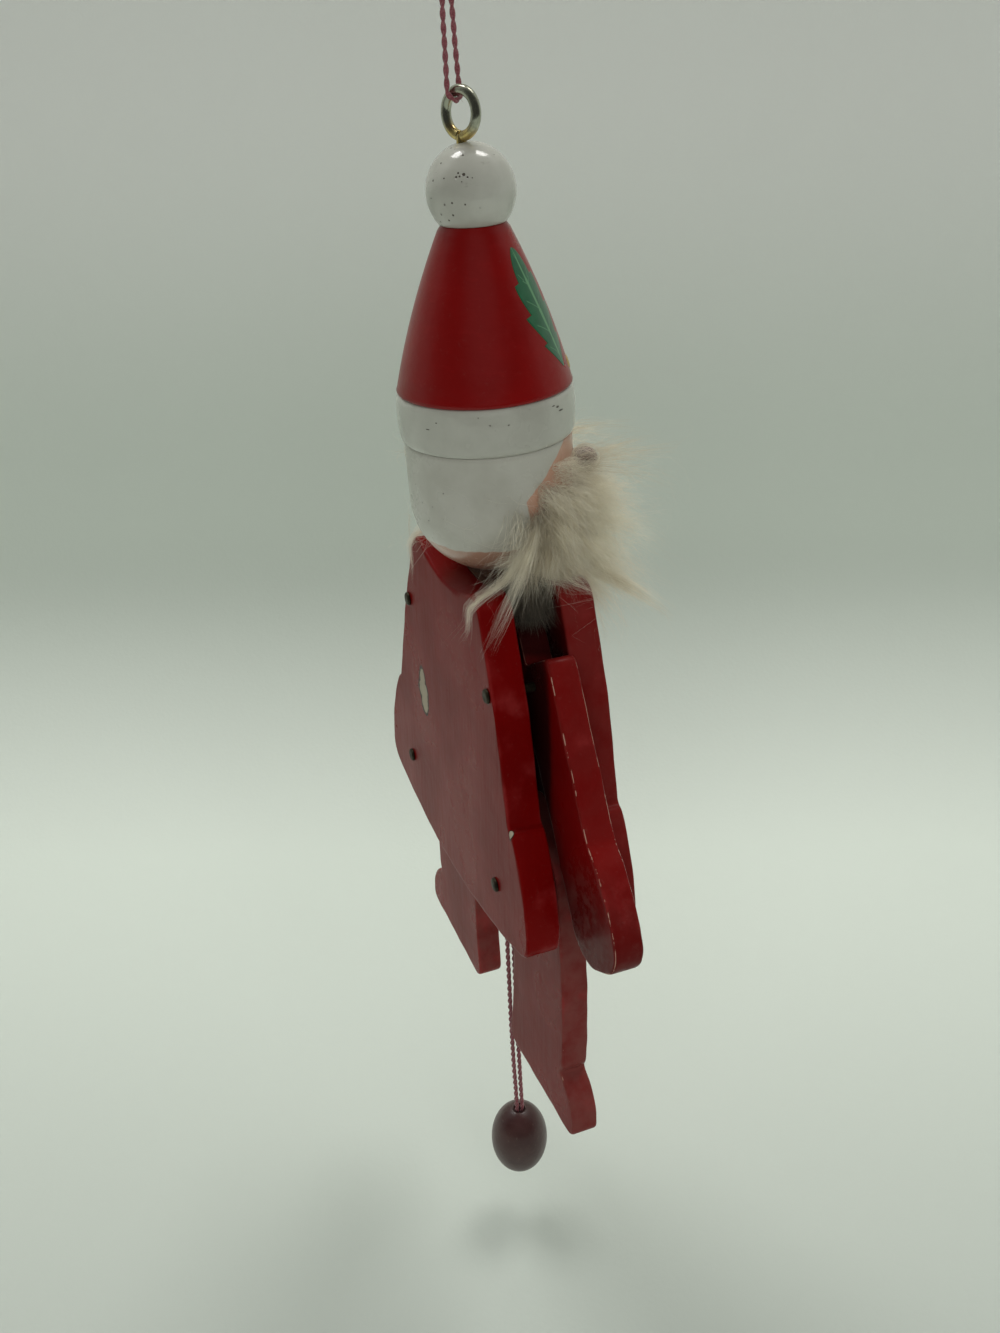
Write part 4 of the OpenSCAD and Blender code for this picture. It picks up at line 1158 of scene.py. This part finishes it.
def make_setting():
    """A pale paper sweep: a level run, a quarter round and a wall, clear when seen from behind,
    with painted shade on the run towards the viewer and painted light higher up the wall.
    """
    s = Shader("pale_paper")
    run_mark = s.mark("run")
    tone = s.mix(s.ramp(s.noise(3, 2), 0.3, 0.7), (0.78, 0.84, 0.77), (0.74, 0.80, 0.73))
    # painted shade: the level run darker towards the viewer
    tone = s.mix(s.ramp(run_mark, 0.117, -0.103, 0, 1), tone, (0.50, 0.545, 0.50))
    # painted light: the wall lighter higher up
    tone = s.mix(s.ramp(run_mark, 0.247, 0.355, 0, 1), tone, (0.98, 1.0, 0.96))
    paper = s.finish(Base_Color=tone, Roughness=0.85, Normal=s.bump(s.noise(900, 3), 0.05 * MM))
    s.blend_surface(s.add("NewGeometry", "Backfacing", {}), s.add("BsdfTransparent", 0, {}))
    near, far, bend, wall, half, cols = -0.6, 0.117, 0.07, 0.4, 1.3, 5
    a = np.linspace(0, np.pi / 2, 16)
    level, wall_rise = np.linspace(near, far, 14)[:-1], np.linspace(FLOOR_UP + bend, wall, 9)[1:]
    run = np.concatenate([level, far + bend * np.sin(a), np.full(len(wall_rise), far + bend)])
    rise = np.concatenate([np.full(len(level), FLOOR_UP), FLOOR_UP + bend * (1 - np.cos(a)), wall_rise])
    ahead = unit(np.array([0.93, -0.367]))
    side = np.array([ahead[1], -ahead[0]])
    across = np.linspace(-half, half, cols)
    flat = run[:, None, None] * ahead + across[None, :, None] * side
    points = np.concatenate([flat, np.broadcast_to(rise[:, None, None], (len(run), cols, 1))], -1)
    mesh = bpy.data.meshes.new("paper_sweep")
    mesh.from_pydata(points.reshape(-1, 3).tolist(), [], grid_quads(len(run), cols).tolist())
    mesh.polygons.foreach_set("use_smooth", np.ones(len(mesh.polygons), bool))
    along = np.concatenate([[0], np.cumsum(np.hypot(np.diff(run), np.diff(rise)))]) + near
    mark = mesh.attributes.new("run", "FLOAT", "POINT")
    mark.data.foreach_set("value", np.repeat(along, cols).astype(np.float32))
    mesh.materials.append(paper)
    sweep = bpy.data.objects.new("paper_sweep", mesh)
    sweep.visible_shadow = False
    bpy.context.scene.collection.objects.link(sweep)


def area_light(name, place, size, power, colour):
    """A round lamp aimed at the middle of the toy."""
    data = bpy.data.lights.new(name, "AREA")
    data.shape = "DISK"
    data.size = size
    data.energy = power
    data.color = colour
    lamp = bpy.data.objects.new(name, data)
    lamp.location = place
    lamp.rotation_euler = (Vector((0, 0, -0.08)) - Vector(place)).to_track_quat("-Z", "Y").to_euler()
    bpy.context.scene.collection.objects.link(lamp)
    return lamp


def make_room():
    """A dim room, brighter beyond the toy than on the viewer's side, and pale where it is seen."""
    s = Shader("room", bpy.data.worlds.new("room"))
    beyond = s.add("VectorMath", "Value", {0: s.place, 1: (0.93, -0.37, 0.0)}, operation="DOT_PRODUCT")
    seen = s.times(s.add("LightPath", "Is Camera Ray", {}), 0.6, s.ramp(beyond, -0.45, 0.6, 0.06, 0.8))
    bpy.context.scene.world = s.finish(Color=(0.86, 0.90, 0.84), Strength=s.math("MINIMUM", seen, 0.8))


make_setting()
make_room()
area_light("far_lamp", (0.55, 0.20, 1.02), 0.50, 5, (1.0, 0.99, 0.97))
area_light("side_lamp", (0.26, -0.48, 1.08), 0.45, 3.6, (1.0, 0.98, 0.95))
fill = area_light("viewer_fill", (-0.80, 0.25, 0.45), 1.0, 3.6, (1.0, 1.0, 0.97))
fill.visible_glossy = False
bpy.context.scene.view_settings.view_transform = "Standard"
